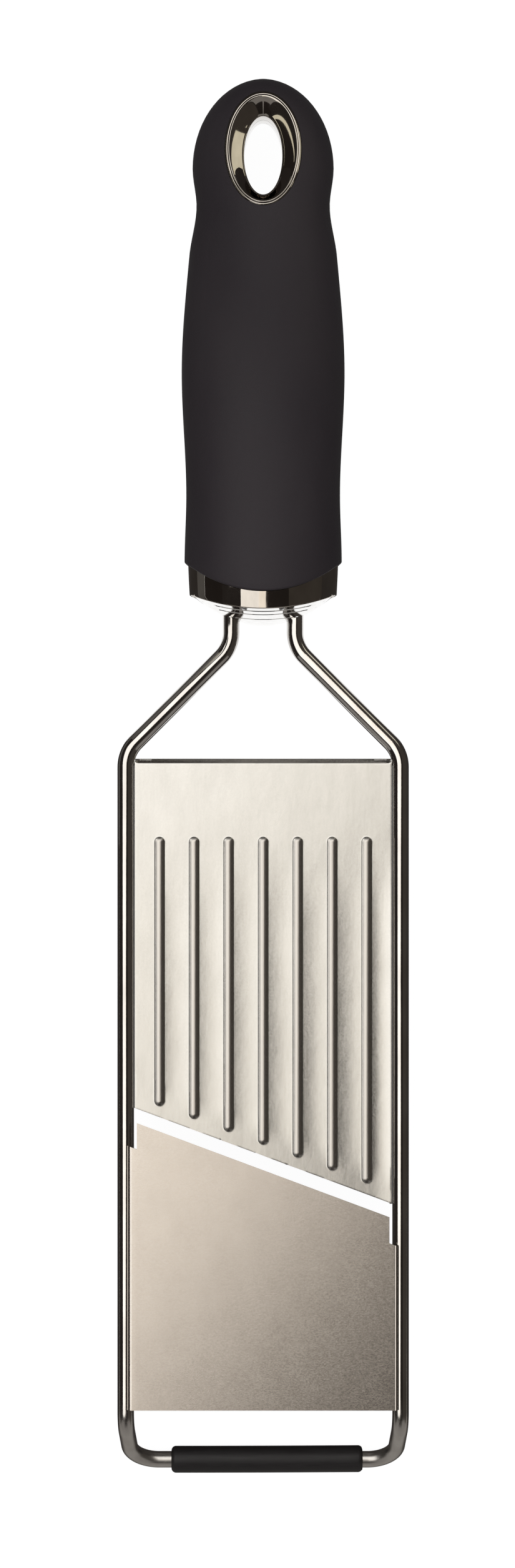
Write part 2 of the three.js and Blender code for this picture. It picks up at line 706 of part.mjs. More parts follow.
function footSleeve() {
  const half = (footHighX - footLowX) / 2;
  const bore = rodRadius + FIT_GAP;
  const roundX = footRadius - FOOT_END_RADIUS;
  const roundY = half - FOOT_END_RADIUS;
  const profile = new THREE.Path();
  profile.moveTo(bore, -half);
  profile.lineTo(roundX, -half);
  profile.absarc(roundX, -roundY, FOOT_END_RADIUS, -Math.PI / 2, 0, false);
  profile.absarc(roundX, roundY, FOOT_END_RADIUS, 0, Math.PI / 2, false);
  profile.lineTo(bore, half);
  profile.lineTo(bore, -half);
  const geometry = new THREE.LatheGeometry(profile.getPoints(ARC_STEPS / 2), FOOT_SIDES);
  geometry.rotateZ(Math.PI / 2);
  geometry.translate((footLowX + footHighX) / 2, crossbarY, -footDrop);
  return solid(geometry);
}

// Materials

const steel = (color, roughness) => new THREE.MeshStandardMaterial({ color, roughness, metalness: 1 });
const plastic = (color, roughness) => new THREE.MeshStandardMaterial({ color, roughness, metalness: 0 });
const materials = {
  polishedSteel: steel(0xb9b4ad, 0.18),
  satinSteel: steel(0xd8d2c8, 0.35),
  bladeSteel: steel(0xb9ac9c, 0.42),
  gunmetal: steel(0x3c3733, 0.08),
  softRubber: plastic(0x2a2727, 0.7),
  footRubber: plastic(0x1d1b1b, 0.55),
  hardPlastic: plastic(0x1f1e1e, 0.5),
};

// Assembly

const assembly = new THREE.Group();
assembly.position.set(0, -(HANDLE_LENGTH + crossbarY - footRadius) / 2, restDepth);

function place(name, made, material) {
  const mesh = new THREE.Mesh(geometryOf(made), material);
  mesh.name = name;
  assembly.add(mesh);
}

const core = coreHalves();
place("frame_rod", rodSolid(), materials.polishedSteel);
place("runway_plate", runwayPlate(), materials.satinSteel);
place("blade_plate", bladePlate(), materials.bladeSteel);
place("foot_sleeve", footSleeve(), materials.footRubber);
place("core_front", core.front, materials.hardPlastic);
place("core_back", core.back, materials.hardPlastic);
place("soft_grip", softGrip(), materials.softRubber);
place("ferrule", ferrule(), materials.gunmetal);
place("eyelet_front", eyelet(1), materials.gunmetal);
place("eyelet_back", eyelet(-1), materials.gunmetal);

const mandoline = new THREE.Group();
mandoline.add(assembly);

export default mandoline;
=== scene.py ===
"""The looks of a handheld mandoline: its pieces, their finishes, a white floor, light and a camera.

Sizes are millimetres in the row frame, and become metres where a piece is placed.
"""

import math

import bmesh
import bpy
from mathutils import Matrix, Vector


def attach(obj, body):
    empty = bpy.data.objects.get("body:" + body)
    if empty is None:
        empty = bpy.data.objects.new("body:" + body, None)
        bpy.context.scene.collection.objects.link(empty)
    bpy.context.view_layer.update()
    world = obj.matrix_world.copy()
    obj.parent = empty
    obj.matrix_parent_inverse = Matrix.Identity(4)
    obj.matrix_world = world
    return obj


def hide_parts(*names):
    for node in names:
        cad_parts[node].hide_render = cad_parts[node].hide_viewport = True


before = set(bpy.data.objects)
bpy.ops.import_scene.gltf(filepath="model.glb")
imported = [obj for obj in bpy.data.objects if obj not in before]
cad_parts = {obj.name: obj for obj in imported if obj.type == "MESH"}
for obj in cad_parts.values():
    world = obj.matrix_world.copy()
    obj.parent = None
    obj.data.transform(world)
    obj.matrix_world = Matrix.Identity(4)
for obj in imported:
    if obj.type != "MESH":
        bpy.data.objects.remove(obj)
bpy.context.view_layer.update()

# Metres in a millimetre, and how near counts as the same place
MM = 0.001
NEAR = 0.01
MERGE_METRES = 2e-6
CREASE_DEGREES = 35

# Bent rod, on its centre line
ROD_RADIUS = 1.9
ROD_HOLE = 1.98
ROD_Z = 15.3
NECK_X = 7.3
SIDE_X = 31.45
NECK_CORNER_Y = 30.292
SHOULDER_CORNER_Y = 6.142
SHOULDER_BEND = 8
LEG_CORNER_Y = -147.682
LEG_BEND = 6
FOOT_CORNER_X = 30.25
FOOT_CORNER_BEND = 6.8
FOOT_Y = -156.892
FOOT_Z = 3.1
ROD_END_Y = 89.892
PADDLE_LENGTH = 9
PADDLE_SHOULDER = 2
PADDLE_WIDTH = 5.4
PADDLE_THICKNESS = 2.4
ROD_SIDES = 48
BEND_STEP = math.radians(3.5)
SATIN_START_Y = -141
SATIN_END_Y = -149

# Both plates
SHEET = 0.6
SLANT = math.radians(20.4)
SLANT_FACING = (math.sin(SLANT), math.cos(SLANT), 0)
BEND_STEPS = 7
CUT_EDGE = 0.12
CUT_EDGE_ANGLE = math.radians(55)
CUT_EDGE_STEPS = 2

# Runway plate
RUNWAY_HALF = 29.52
RUNWAY_TOP_Y = 4.742
RUNWAY_SIDE_BEND = 0.3
LIP_WIDTH = 1.15
LIP_SLOPE = math.radians(43)
LIP_ROUND = 0.25
LIP_EDGE = 0.06
RUNWAY_CORNER = 0.9
RUNWAY_CORNER_STEPS = 6
RUNWAY_OUTER_CORNER = 0.2
FOLD_SLACK = 0.005
RUNWAY_Z = 16.1155
RUNWAY_DEPTH = 2.6
RUNWAY_EDGE_Y = -86.058
RUNWAY_MARGIN = 0.4

# Ribs pressed out of the runway, with the sheet sagging a little between them
RIB_COUNT = 7
RIB_PITCH = 7.9
RIB_UPPER_Y = -13.058
RIB_ABOVE_EDGE = 2.5
RIB_HALF = 1.25
RIB_SKIRT = 0.3
RIB_END_SEGMENTS = 16
RIB_END_SHARE = 0.9999
# Heights over the sheet across which the ribs take on painted shade (a darker colour for their crowns)
# and a duller roughness
RIB_PAINTED_SHADE_LOW = 0.08
RIB_PAINTED_SHADE_HIGH = 0.3
SAG_DEPTH = 0.055
RIGHT_SIDE_RISE = 0.12
SIDE_SLACK = 0.001
SAG_STEPS = 12
SAG_UPPER_FADE = 21
SAG_LOWER_FADE = 6
SAG_FADE_STEPS = 8
RIB_FOOT_FILLET = 0.15
RIB_FOOT_ANGLE = math.radians(45)
EDGE_FILLET = 0.25
FLANK_ANGLE = math.radians(20.5)
CROWN_RADIUS = 1.9
FILLET_STEPS = 4
CROWN_STEPS = 7

# Blade plate
BLADE_FLAT_HALF = 30
BLADE_LEFT_BEND = 0.85
BLADE_RIGHT_BEND = 0.45
BLADE_BEND_DROP = 0.5
CREASE_LINES = [0.04, 0.12, 0.3]
CREASE_DEPTH = 0.07
BLADE_TONGUE_HALF = 28.85
BLADE_Z = 18.1155
BLADE_DEPTH = 0.9
BLADE_EDGE_Y = -89.2
BLADE_NECK = 6
BLADE_END_Y = -144.092
BLADE_GRIND = 1.8
BLADE_EDGE = 0.12

# Foot sleeve
FOOT_LOW_X = -21.15
FOOT_HIGH_X = 22.95
FOOT_RADIUS = 3.095
FOOT_ROUND = 1.05
FOOT_ROUND_STEPS = 8
FOOT_TILT = 0.15
FOOT_SIDES = 64
FOOT_SLICES = 22
FOOT_SLICE_INSET = 1

# Handle, with its stations as a height up the tool and the full width and thickness there
RIM_Y = 41.892
HEAD_Y = 139.592
HEAD_REACH = 20.39
HEAD_WIDTH = 32.3
HEAD_THICKNESS = 23
WAIST_Y = 64.892
SKIRT_Y = 49.3
SKIRT_HALF = 18
HANDLE_STATIONS = [
    (34.392, 35.5, 28.3),
    (SKIRT_Y, 2 * SKIRT_HALF, 28.8),
    (WAIST_Y, 35.2, 28.2),
    (92.892, 37.3, 30.6),
    (119.692, 33.8, 26.2),
    (131.092, 30.5, 23.6),
    (HEAD_Y, HEAD_WIDTH, HEAD_THICKNESS),
]
SECTION_POWER = 2.1
HEAD_END_POWER = 3
SKIRT_DIP = 6.6
GRIP_WALL = 2.2
GRIP_LIP = 0.45
GRIP_LIP_STEPS = 4
GRIP_LIP_NEAR_Y = 0.3
GRIP_LIP_NEAR_Z = 0.05
GRIP_SIDES = 96
GRIP_RING_STEP = 1.6
GRIP_SKIRT_RINGS = 12
GRIP_HEAD_RINGS = 18

# Ferrule
FERRULE_INSET = 0.85
FERRULE_TAPER_SIDES = 0.2
FERRULE_TAPER_FRONT = 0.15
FERRULE_GAP = 0.05
FERRULE_RINGS = 8
BAND_START = 0.015
BAND_SPAN = 0.93
RIM_DIP = 3.25
RIM_ROUND = 0.35
RIM_LEDGE = 0.45
LEDGE_FALL = 0.8
BAND_WALL = 1.5
ROUND_STEPS = 5
DOME_INSET = 0.5
DOME_TUCK = 0.25
DOME_LOW_Y = 35.2
DOME_BEHIND = 4
DOME_WALL = 1.2
DOME_RINGS = 20
DOME_GROOVES = [0.885, 0.77, 0.57]
GROOVE_HALF = 0.014
GROOVE_DEPTH = 0.4
GROOVE_FADE_POWER = 8
ROD_HOLE_DEPTH = 9.6

# Hanging eyelet
EYE_Y = 143.242
EYE_WIDTH = 17.5
EYE_LENGTH = 26.1
HOLE_Y = 141.792
HOLE_WIDTH = 8.7
HOLE_LENGTH = 18
HOLE_LIP = 0.35
EYE_WALL = 1.4
EYE_SEAT = 6.6
DISH_DROP = 1.65
DISH_POWER = 1.15
DISH_RINGS = 10
EYE_GAP = 0.06
EYE_SPLIT = 0.15
EYE_SIDES = 128
EYE_CREASE_DEGREES = 50
BEADS = [(0.6, 0.1), (0.44, 0.075)]  # width and crest height, from the outside in
BEAD_STEPS = 8
BEAD_PROUD = 0.1

# Noise mostly stays between these
NOISE_LOW = 0.3
NOISE_HIGH = 0.7

# Photograph
CAMERA_HEIGHT = 1350
SENSOR_WIDTH = 36
FRAME_LENGTH = 358.6
VIEW_X = -1.29
VIEW_Y = -1.07

# Floor, softbox, lamps and room
FLOOR_SIZE = 12000
FLOOR_WHITE = 0.95
FLOOR_PAINT = 0.12
SOFTBOX_Z = 1015
SOFTBOX_LEFT = -899
SOFTBOX_LEAN = -0.36
SOFTBOX_RIM = 120
SOFTBOX_WHITE = (1.7, 1.67, 1.61)
SOFTBOX_RIM_WHITE = (1.66, 1.57, 1.42)
SOFTBOX_EDGE = [  # Y, and the X of the right edge there
    (-520, -205),
    (-243, -38),
    (-188, 12),
    (-140, 55),
    (-85, 10),
    (-50, 45),
    (-20, 105),
    (10, 165),
    (650, 560),
]
SOFTBOX_LAMP = [(-340, 190, SOFTBOX_Z), (845, 915), 1]  # centre, size and radiance
FILL_LAMP = [(0, 0, 1600), (2400, 2400), 0.5]
ROOM_GREY = (0.5, 0.5, 0.5, 1)
ROOM_DARK = (0.024, 0.02, 0.018, 1)

# Cards that only shiny pieces see
DARK = (0.045, 0.04, 0.037)
DIM = (0.12, 0.115, 0.11)
FLAG = (0.03, 0.026, 0.024)
WALL_GREY = (0.28, 0.265, 0.25)
BEIGE = (1.05, 1, 0.8)
FLOOR_CARD_Z = 0.4
EYE_CARD_Z = 95
FLOOR_CARDS = [  # name, colour, X from and to, Y from and to
    ("dark_floor_low", DARK, -2000, 2000, -163, -15),
    ("dark_floor_throat_left", DARK, -66, -8, -15, 14),
    ("dark_floor_throat_right", DARK, 8, 2000, -15, 14),
    ("dark_floor_left", DARK, -66, -40, 14, 2000),
    ("dim_floor_left", DIM, -4000, -66, -15, 2000),
    ("dark_floor_right", DARK, 40, 2000, 14, 2000),
    ("dark_floor_handle", DARK, -40, 40, 40, 132),
    ("dark_floor_eye_left", DARK, -40, -5, 132, 151),
    ("dark_floor_eye_right", DARK, 5, 40, 132, 151),
    ("dark_floor_high", DARK, -40, 40, 151, 2000),
    ("grey_floor_low", (0.33, 0.315, 0.295), -2000, 2000, -2000, -163),
]
LEVEL_CARDS = [  # the same, and Z
    ("ferrule_flag", FLAG, -34, -13.2, 36.5, 42, 45),
    ("eye_flag", FLAG, -94, -30, 96, 190, EYE_CARD_Z + 1),
    ("eye_card_top", (0.27, 0.26, 0.25), -36, 36, 104, 132, EYE_CARD_Z),
    ("eye_card_line", (0.3, 0.29, 0.28), -3, 3, 84, 104, EYE_CARD_Z),
]
EYE_CARDS = [  # name and corners of the beige cards that the hanging eye shows
    ("eye_card_left", [(85, 145), (230, 125), (85, 210), (230, 300)]),
    ("eye_card_left_end", [(118, 118), (190, 98), (118, 130), (190, 112)]),
    ("eye_card_right", [(-96, 97), (-78, 97), (-101, 184), (-96, 184)]),
]
UPRIGHT_CARDS = [  # name, colour, X from and to, Y, Z from and to
    ("grey_wall_left", WALL_GREY, -1400, -350, -1000, 0, 1100),
    ("grey_wall_mid", WALL_GREY, -350, 350, -1000, 0, 620),
    ("grey_wall_right", WALL_GREY, 350, 1400, -1000, 0, 1100),
    ("back_wall", (0.17, 0.16, 0.15), -1500, 1500, 1400, 150, 1250),
    ("eye_back_flag", FLAG, -70, 70, 172, 18, 52),
]
RIGHT_WALL_X = 1500
RIGHT_WALL_HALF = 2500
RIGHT_WALL_TOP = 2600
RIGHT_WALL_BROWN = (0.06, 0.052, 0.045)


# Modelling steps


def metres(x, y, z):
    return Vector((x, y, z)) * MM


def open_piece(name):
    """Puts the new primitive's place into its mesh and opens it for editing."""
    piece = bpy.context.object
    piece.name = name
    bpy.ops.object.transform_apply(location=True, rotation=True, scale=True)
    bpy.ops.object.mode_set(mode="EDIT")
    return piece


def pick(piece):
    """Selects one piece alone."""
    bpy.ops.object.select_all(action="DESELECT")
    piece.select_set(True)
    bpy.context.view_layer.objects.active = piece


def close_piece(piece):
    """Merges what touches, turns the faces outwards and leaves the piece selected alone."""
    bpy.ops.mesh.select_all(action="SELECT")
    bpy.ops.mesh.remove_doubles(threshold=MERGE_METRES)
    bpy.ops.mesh.normals_make_consistent(inside=False)
    bpy.ops.object.mode_set(mode="OBJECT")
    pick(piece)


def reopen(piece):
    pick(piece)
    bpy.ops.object.mode_set(mode="EDIT")


def select(kind, test):
    """Selects the vertices, edges or faces of the open piece that pass the test, and nothing else."""
    bpy.ops.mesh.select_all(action="DESELECT")
    bpy.ops.mesh.select_mode(type=kind)
    mesh = bpy.context.object.data
    form = bmesh.from_edit_mesh(mesh)
    elements = {"VERT": form.verts, "EDGE": form.edges, "FACE": form.faces}[kind]
    for element in elements:
        if test(element):
            element.select_set(True)
    if kind == "VERT":
        form.select_flush(True)
    bmesh.update_edit_mesh(mesh)


def open_plane(name, centre, width, length):
    """Opens a flat sheet of that width and length, level at its centre."""
    bpy.ops.mesh.primitive_plane_add(size=MM, location=centre)
    piece = open_piece(name)
    bpy.ops.transform.resize(value=(width, length, 1))
    return piece


def shift_vertices(piece, shift):
    """Moves each vertex of the open piece by what shift says for its place."""
    form = bmesh.from_edit_mesh(piece.data)
    for vert in form.verts:
        vert.co += shift(vert.co / MM) * MM
    bmesh.update_edit_mesh(piece.data)


def slice_piece(place, facing, **clearing):
    """Cuts right through the open piece along a plane, and clears one side away if asked."""
    bpy.ops.mesh.select_all(action="SELECT")
    bpy.ops.mesh.bisect(plane_co=place, plane_no=facing, **clearing)


def hump(share):
    """A curve from 0 at both ends to 1 in the middle."""
    return 4 * share * (1 - share)


def quarter_turn():
    """The steps of a rounded edge."""
    return [math.pi / 2 * k / ROUND_STEPS for k in range(1, ROUND_STEPS + 1)]


def extrude(x, y, z):
    bpy.ops.mesh.extrude_region_move(TRANSFORM_OT_translate={"value": metres(x, y, z)})


def apply_modifier(piece, kind, **settings):
    modifier = piece.modifiers.new(kind.lower(), kind)
    for name, value in settings.items():
        setattr(modifier, name, value)
    bpy.ops.object.modifier_apply(modifier=modifier.name)


def cut_away(piece, cutter):
    """Takes the cutter's form out of the piece, and the cutter out of the scene."""
    bpy.ops.object.mode_set(mode="OBJECT")
    pick(piece)
    apply_modifier(piece, "BOOLEAN", operation="DIFFERENCE", solver="EXACT", object=cutter)
    bpy.data.objects.remove(cutter)


def finish_piece(piece, material, node, crease=CREASE_DEGREES, flat_sheet=False):
    """Smooths and dresses the piece, and lets it stand for its CAD node."""
    pick(piece)
    bpy.ops.object.shade_smooth_by_angle(angle=math.radians(crease))
    if flat_sheet:
        apply_modifier(piece, "WEIGHTED_NORMAL", keep_sharp=True)
    piece.data.materials.append(material)
    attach(piece, "root")
    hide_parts(node)


# Rings of vertices that remember their turn round the axis, for forms that are drawn out ring by ring


def open_ring(name, sides, place):
    bpy.ops.mesh.primitive_circle_add(vertices=sides, radius=MM)
    piece = open_piece(name)
    form = bmesh.from_edit_mesh(piece.data)
    turns = form.verts.layers.float.new("turn")
    for vert in form.verts:
        vert[turns] = math.atan2(vert.co.y, vert.co.x)
    bmesh.update_edit_mesh(piece.data)
    shape_ring(piece, place)
    return piece


def shape_ring(piece, place):
    form = bmesh.from_edit_mesh(piece.data)
    turns = form.verts.layers.float["turn"]
    for vert in form.verts:
        if vert.select:
            vert.co = place(vert[turns]) * MM
    bmesh.update_edit_mesh(piece.data)


def add_ring(piece, place):
    bpy.ops.mesh.extrude_region_move()
    shape_ring(piece, place)


def close_rings(piece):
    close_piece(piece)
    piece.data.attributes.remove(piece.data.attributes["turn"])


# Handle outline


def smooth_line(points):
    """A line through points, level at each peak and dip between its neighbours."""
    slopes = [0.0]
    for (x0, y0), (x1, y1), (x2, y2) in zip(points, points[1:], points[2:]):
        before = (y1 - y0) / (x1 - x0)
        after = (y2 - y1) / (x2 - x1)
        slopes.append(0.0 if before * after <= 0 else 2 * before * after / (before + after))
    slopes.append(0.0)

    def height(x):
        i = 0
        while i + 2 < len(points) and x > points[i + 1][0]:
            i += 1
        (x0, y0), (x1, y1) = points[i], points[i + 1]
        span = x1 - x0
        t = min(max((x - x0) / span, 0), 1)
        bend = span * t * (1 - t) * (slopes[i] * (1 - t) - slopes[i + 1] * t)
        return y0 + (y1 - y0) * t * t * (3 - 2 * t) + bend

    return height


half_width_at = smooth_line([(y, width / 2) for y, width, _ in HANDLE_STATIONS])
half_thickness_at = smooth_line([(y, thickness / 2) for y, _, thickness in HANDLE_STATIONS])


def handle_section(y):
    """Half width and half thickness of the handle at a height."""
    if y <= HEAD_Y:
        return half_width_at(y), half_thickness_at(y)
    u = min((y - HEAD_Y) / HEAD_REACH, 1)
    half_width = HEAD_WIDTH / 2 * math.sqrt(1 - u**2)
    half_thickness = HEAD_THICKNESS / 2 * (1 - u**HEAD_END_POWER) ** (1 / HEAD_END_POWER)
    return half_width, half_thickness


def unit_section(turn):
    """The handle's section at one turn round its axis, at half width and half thickness 1."""
    power = 2 / SECTION_POWER
    across = math.copysign(abs(math.cos(turn)) ** power, math.cos(turn))
    over = math.copysign(abs(math.sin(turn)) ** power, math.sin(turn))
    return across, over


def handle_spot(turn, y, inset_x=0.0, inset_z=0.0):
    """A spot on the handle's skin, or inside it by an inset."""
    across, over = unit_section(turn)
    half_width, half_thickness = handle_section(y)
    x = (half_width - inset_x) * across
    z = (half_thickness - inset_z) * over
    return Vector((x, y, ROD_Z + z))


def grip_height(x, y):
    """Height of the grip's front skin over the rod plane."""
    half_width, half_thickness = handle_section(y)
    across = min(abs(x) / half_width, 1)
    return half_thickness * (1 - across**SECTION_POWER) ** (1 / SECTION_POWER)


def dip_arc(x, side_y, dip):
    """Height of an arc that is at side_y at the handle's sides and dips in the middle."""
    radius = (SKIRT_HALF**2 + dip**2) / (2 * dip)
    return side_y - dip + radius - math.sqrt(radius**2 - min(abs(x), SKIRT_HALF) ** 2)


# Pieces


def make_rod(material):
    """One round rod: half is drawn from the crossbar's middle up into the handle, then mirrored."""
    crossbar = Vector((0, FOOT_Y, FOOT_Z))
    bpy.ops.mesh.primitive_circle_add(
        vertices=ROD_SIDES,
        radius=ROD_RADIUS * MM,
        fill_type="NGON",
        location=crossbar * MM,
        rotation=(0, math.pi / 2, 0),
    )
    rod = open_piece("bent_rod")
    run_bar(
        [
            (crossbar, 0),
            (Vector((FOOT_CORNER_X, FOOT_Y, FOOT_Z)), FOOT_CORNER_BEND),
            (Vector((SIDE_X, LEG_CORNER_Y, ROD_Z)), LEG_BEND),
            (Vector((SIDE_X, SHOULDER_CORNER_Y, ROD_Z)), SHOULDER_BEND),
            (Vector((NECK_X, NECK_CORNER_Y, ROD_Z)), SHOULDER_BEND),
            (Vector((NECK_X, ROD_END_Y - PADDLE_LENGTH - PADDLE_SHOULDER, ROD_Z)), 0),
        ]
    )
    extrude(0, PADDLE_SHOULDER, 0)
    flatten = (PADDLE_WIDTH / (2 * ROD_RADIUS), 1, PADDLE_THICKNESS / (2 * ROD_RADIUS))
    bpy.ops.transform.resize(value=flatten)
    extrude(0, PADDLE_LENGTH, 0)
    select("FACE", lambda face: abs(face.calc_center_median().x) < MERGE_METRES)
    bpy.ops.mesh.delete(type="ONLY_FACE")
    bpy.ops.object.mode_set(mode="OBJECT")
    apply_modifier(rod, "MIRROR", merge_threshold=MERGE_METRES)
    bpy.ops.object.mode_set(mode="EDIT")
    close_piece(rod)
    finish_piece(rod, material, "frame_rod")


def run_bar(corners):
    """Draws the selected end face through the corners, straight between them and round each bend."""
    here = corners[0][0]
    for (before, _), (corner, radius), (after, _) in zip(corners, corners[1:], corners[2:]):
        into = (corner - before).normalized()
        out = (after - corner).normalized()
        turn = into.angle(out)
        cut_back = radius * math.tan(turn / 2)
        bend_start = corner - into * cut_back
        extrude(*(bend_start - here))
        axis = into.cross(out).normalized()
        centre = bend_start + axis.cross(into) * radius
        steps = math.ceil(turn / BEND_STEP)
        bpy.ops.mesh.spin(steps=steps, angle=-turn, center=centre * MM, axis=axis)
        here = corner + out * cut_back
    extrude(*(corners[-1][0] - here))


def turn_down(piece, bent_edge, place):
    """Draws open edges out and down: place says how far each vertex has moved at each step."""
    select("EDGE", bent_edge)
    form = bmesh.from_edit_mesh(piece.data)
    starts = form.verts.layers.float_vector.new("bend_start")
    for vert in form.verts:
        vert[starts] = vert.co
    bmesh.update_edit_mesh(piece.data)
    for step in range(BEND_STEPS + 1):
        bpy.ops.mesh.extrude_region_move()
        form = bmesh.from_edit_mesh(piece.data)
        starts = form.verts.layers.float_vector["bend_start"]
        for vert in form.verts:
            if vert.select:
                vert.co = vert[starts] + place(vert[starts] / MM, step) * MM
        bmesh.update_edit_mesh(piece.data)


def round_bend(width, drop, depth, steps):
    """How far out and down a bend has come at each step, and last the foot of the wall below it."""
    turns = [math.pi / 2 * (k + 1) / steps for k in range(steps)]
    return [(width * math.sin(turn), drop * (1 - math.cos(turn))) for turn in turns] + [(width, depth)]


def lip_bend():
    """The same for the runway's top lip, which falls away in one straight slope."""
    rounding = BEND_STEPS - 2
    line = []
    for k in range(1, rounding + 1):
        tilt = LIP_SLOPE * k / rounding
        line.append((LIP_ROUND * math.sin(tilt), LIP_ROUND * (1 - math.cos(tilt))))
    slope_end = LIP_WIDTH - LIP_EDGE
    slope_drop = line[-1][1] + (slope_end - line[-1][0]) * math.tan(LIP_SLOPE)
    line.append((slope_end, slope_drop))
    line.append((LIP_WIDTH, slope_drop + 2 * LIP_EDGE))
    line.append((LIP_WIDTH, RUNWAY_DEPTH))
    return line


def forget_bends(piece):
    piece.data.attributes.remove(piece.data.attributes["bend_start"])


def make_runway(material):
    """The ribbed plate: a flat sheet with ribs pressed out of it and its edges turned down."""
    flat_half = RUNWAY_HALF - RUNWAY_SIDE_BEND
    flat_top = RUNWAY_TOP_Y - LIP_WIDTH
    flat_low = RUNWAY_EDGE_Y - RUNWAY_HALF
    centre = metres(0, (flat_top + flat_low) / 2, RUNWAY_Z)
    runway = open_plane("runway", centre, 2 * flat_half, flat_top - flat_low)
    select("VERT", lambda vert: vert.co.y > 0)
    bpy.ops.mesh.bevel(offset=RUNWAY_CORNER * MM, segments=RUNWAY_CORNER_STEPS, affect="VERTICES")
    select("FACE", lambda face: True)
    bpy.ops.mesh.inset(thickness=RUNWAY_MARGIN * MM)
    bpy.ops.mesh.delete(type="ONLY_FACE")
    add_rib_outlines()

    def bounds_open_flat(edge):
        return edge.is_boundary and all(
            abs(vert.co.x) < (flat_half - RUNWAY_MARGIN / 2) * MM
            and (flat_low + RUNWAY_MARGIN / 2) * MM < vert.co.y < (flat_top - RUNWAY_MARGIN / 2) * MM
            for vert in edge.verts
        )

    select("EDGE", bounds_open_flat)
    bpy.ops.mesh.fill(use_beauty=True)
    slice_flat(flat_half)
    press_ribs()
    sag_flat(runway, flat_half)
    side_line = round_bend(RUNWAY_SIDE_BEND, RUNWAY_SIDE_BEND, RUNWAY_DEPTH, BEND_STEPS)
    top_line = lip_bend()

    def bend(spot, step):
        nearest_x = min(max(spot.x, -flat_half + RUNWAY_CORNER), flat_half - RUNWAY_CORNER)
        nearest_y = min(spot.y, flat_top - RUNWAY_CORNER)
        facing = Vector((spot.x - nearest_x, spot.y - nearest_y, 0)) / RUNWAY_CORNER
        top_share = facing.y**2
        side_out, side_drop = side_line[step]
        top_out, top_drop = top_line[step]
        out = side_out / RUNWAY_SIDE_BEND * (1 - top_share) + top_out / LIP_WIDTH * top_share
        drop = side_drop * (1 - top_share) + top_drop * top_share
        corner_x = math.copysign(RUNWAY_HALF - RUNWAY_OUTER_CORNER, spot.x)
        corner = Vector((corner_x, RUNWAY_TOP_Y - RUNWAY_OUTER_CORNER, spot.z))
        reach = facing * RUNWAY_SIDE_BEND
        if top_share > 0:
            reach = corner + facing * RUNWAY_OUTER_CORNER - spot
            if abs(spot.x) <= flat_half - RUNWAY_CORNER:
                reach.x = 0
        return reach * out - Vector((0, 0, drop))

    def side_or_top(edge):
        middle = (edge.verts[0].co + edge.verts[1].co) / 2
        return edge.is_boundary and middle.y > (flat_low + RUNWAY_MARGIN) * MM

    turn_down(runway, side_or_top, bend)
    slice_piece(metres(0, RUNWAY_EDGE_Y, 0), SLANT_FACING, clear_inner=True)
    close_piece(runway)
    forget_bends(runway)
    apply_modifier(runway, "SOLIDIFY", thickness=SHEET * MM, offset=-1)
    break_edges(runway)
    draw_in_corners(runway)
    finish_piece(runway, material, "runway_plate", flat_sheet=True)


def draw_in_corners(runway):
    """Brings the sheet's inner skin back inside where it folds out past the two tight top corners."""

    def inward(spot):
        if abs(spot.x) < RUNWAY_HALF + FOLD_SLACK:
            return Vector()
        return Vector((math.copysign(RUNWAY_HALF - SHEET / 2, spot.x) - spot.x, 0, 0))

    reopen(runway)
    shift_vertices(runway, inward)
    bpy.ops.object.mode_set(mode="OBJECT")


def rib_x(i):
    return (i - (RIB_COUNT - 1) / 2) * RIB_PITCH


def add_rib_outlines():
    """Adds a flat round-ended face for each rib, with room for a narrow skirt round it."""
    half = RIB_HALF + RIB_SKIRT
    for i in range(RIB_COUNT):
        low = slant_y(RUNWAY_EDGE_Y, rib_x(i)) + RIB_ABOVE_EDGE
        centre = metres(rib_x(i), (RIB_UPPER_Y + low) / 2, RUNWAY_Z)
        bpy.ops.mesh.primitive_plane_add(size=MM, location=centre)
        bpy.ops.transform.resize(value=(2 * half, RIB_UPPER_Y - low + 2 * RIB_SKIRT, 1))
        bpy.ops.mesh.bevel(
            offset=half * RIB_END_SHARE * MM,
            segments=RIB_END_SEGMENTS,
            affect="VERTICES",
        )
        bpy.ops.mesh.remove_doubles(threshold=MERGE_METRES)


def is_rib(face):
    return len(face.verts) > 2 * RIB_END_SEGMENTS


def gap_spans(flat_half):
    """The two sides of each strip of sheet between ribs, and of the strips outside them."""
    feet = [-flat_half]
    for i in range(RIB_COUNT):
        feet += [rib_x(i) - RIB_HALF, rib_x(i) + RIB_HALF]
    feet.append(flat_half)
    return list(zip(feet[::2], feet[1::2]))


def slice_flat(flat_half):
    """Cuts the sheet round the ribs finely enough to sag."""

    def cut(place, facing):
        select("FACE", lambda face: not is_rib(face))
        bpy.ops.mesh.bisect(plane_co=place, plane_no=facing)

    for low, high in gap_spans(flat_half):
        for k in range(1, SAG_STEPS):
            cut(metres(low + (high - low) * k / SAG_STEPS, 0, 0), (1, 0, 0))
    for k in range(SAG_FADE_STEPS + 1):
        share = k / SAG_FADE_STEPS
        cut(metres(0, RIB_UPPER_Y - SAG_UPPER_FADE * share, 0), (0, 1, 0))
        low = RUNWAY_EDGE_Y + RIB_ABOVE_EDGE + SAG_LOWER_FADE * share
        cut(metres(0, low, 0), SLANT_FACING)
    cut(metres(0, RUNWAY_EDGE_Y + RUNWAY_MARGIN, 0), SLANT_FACING)


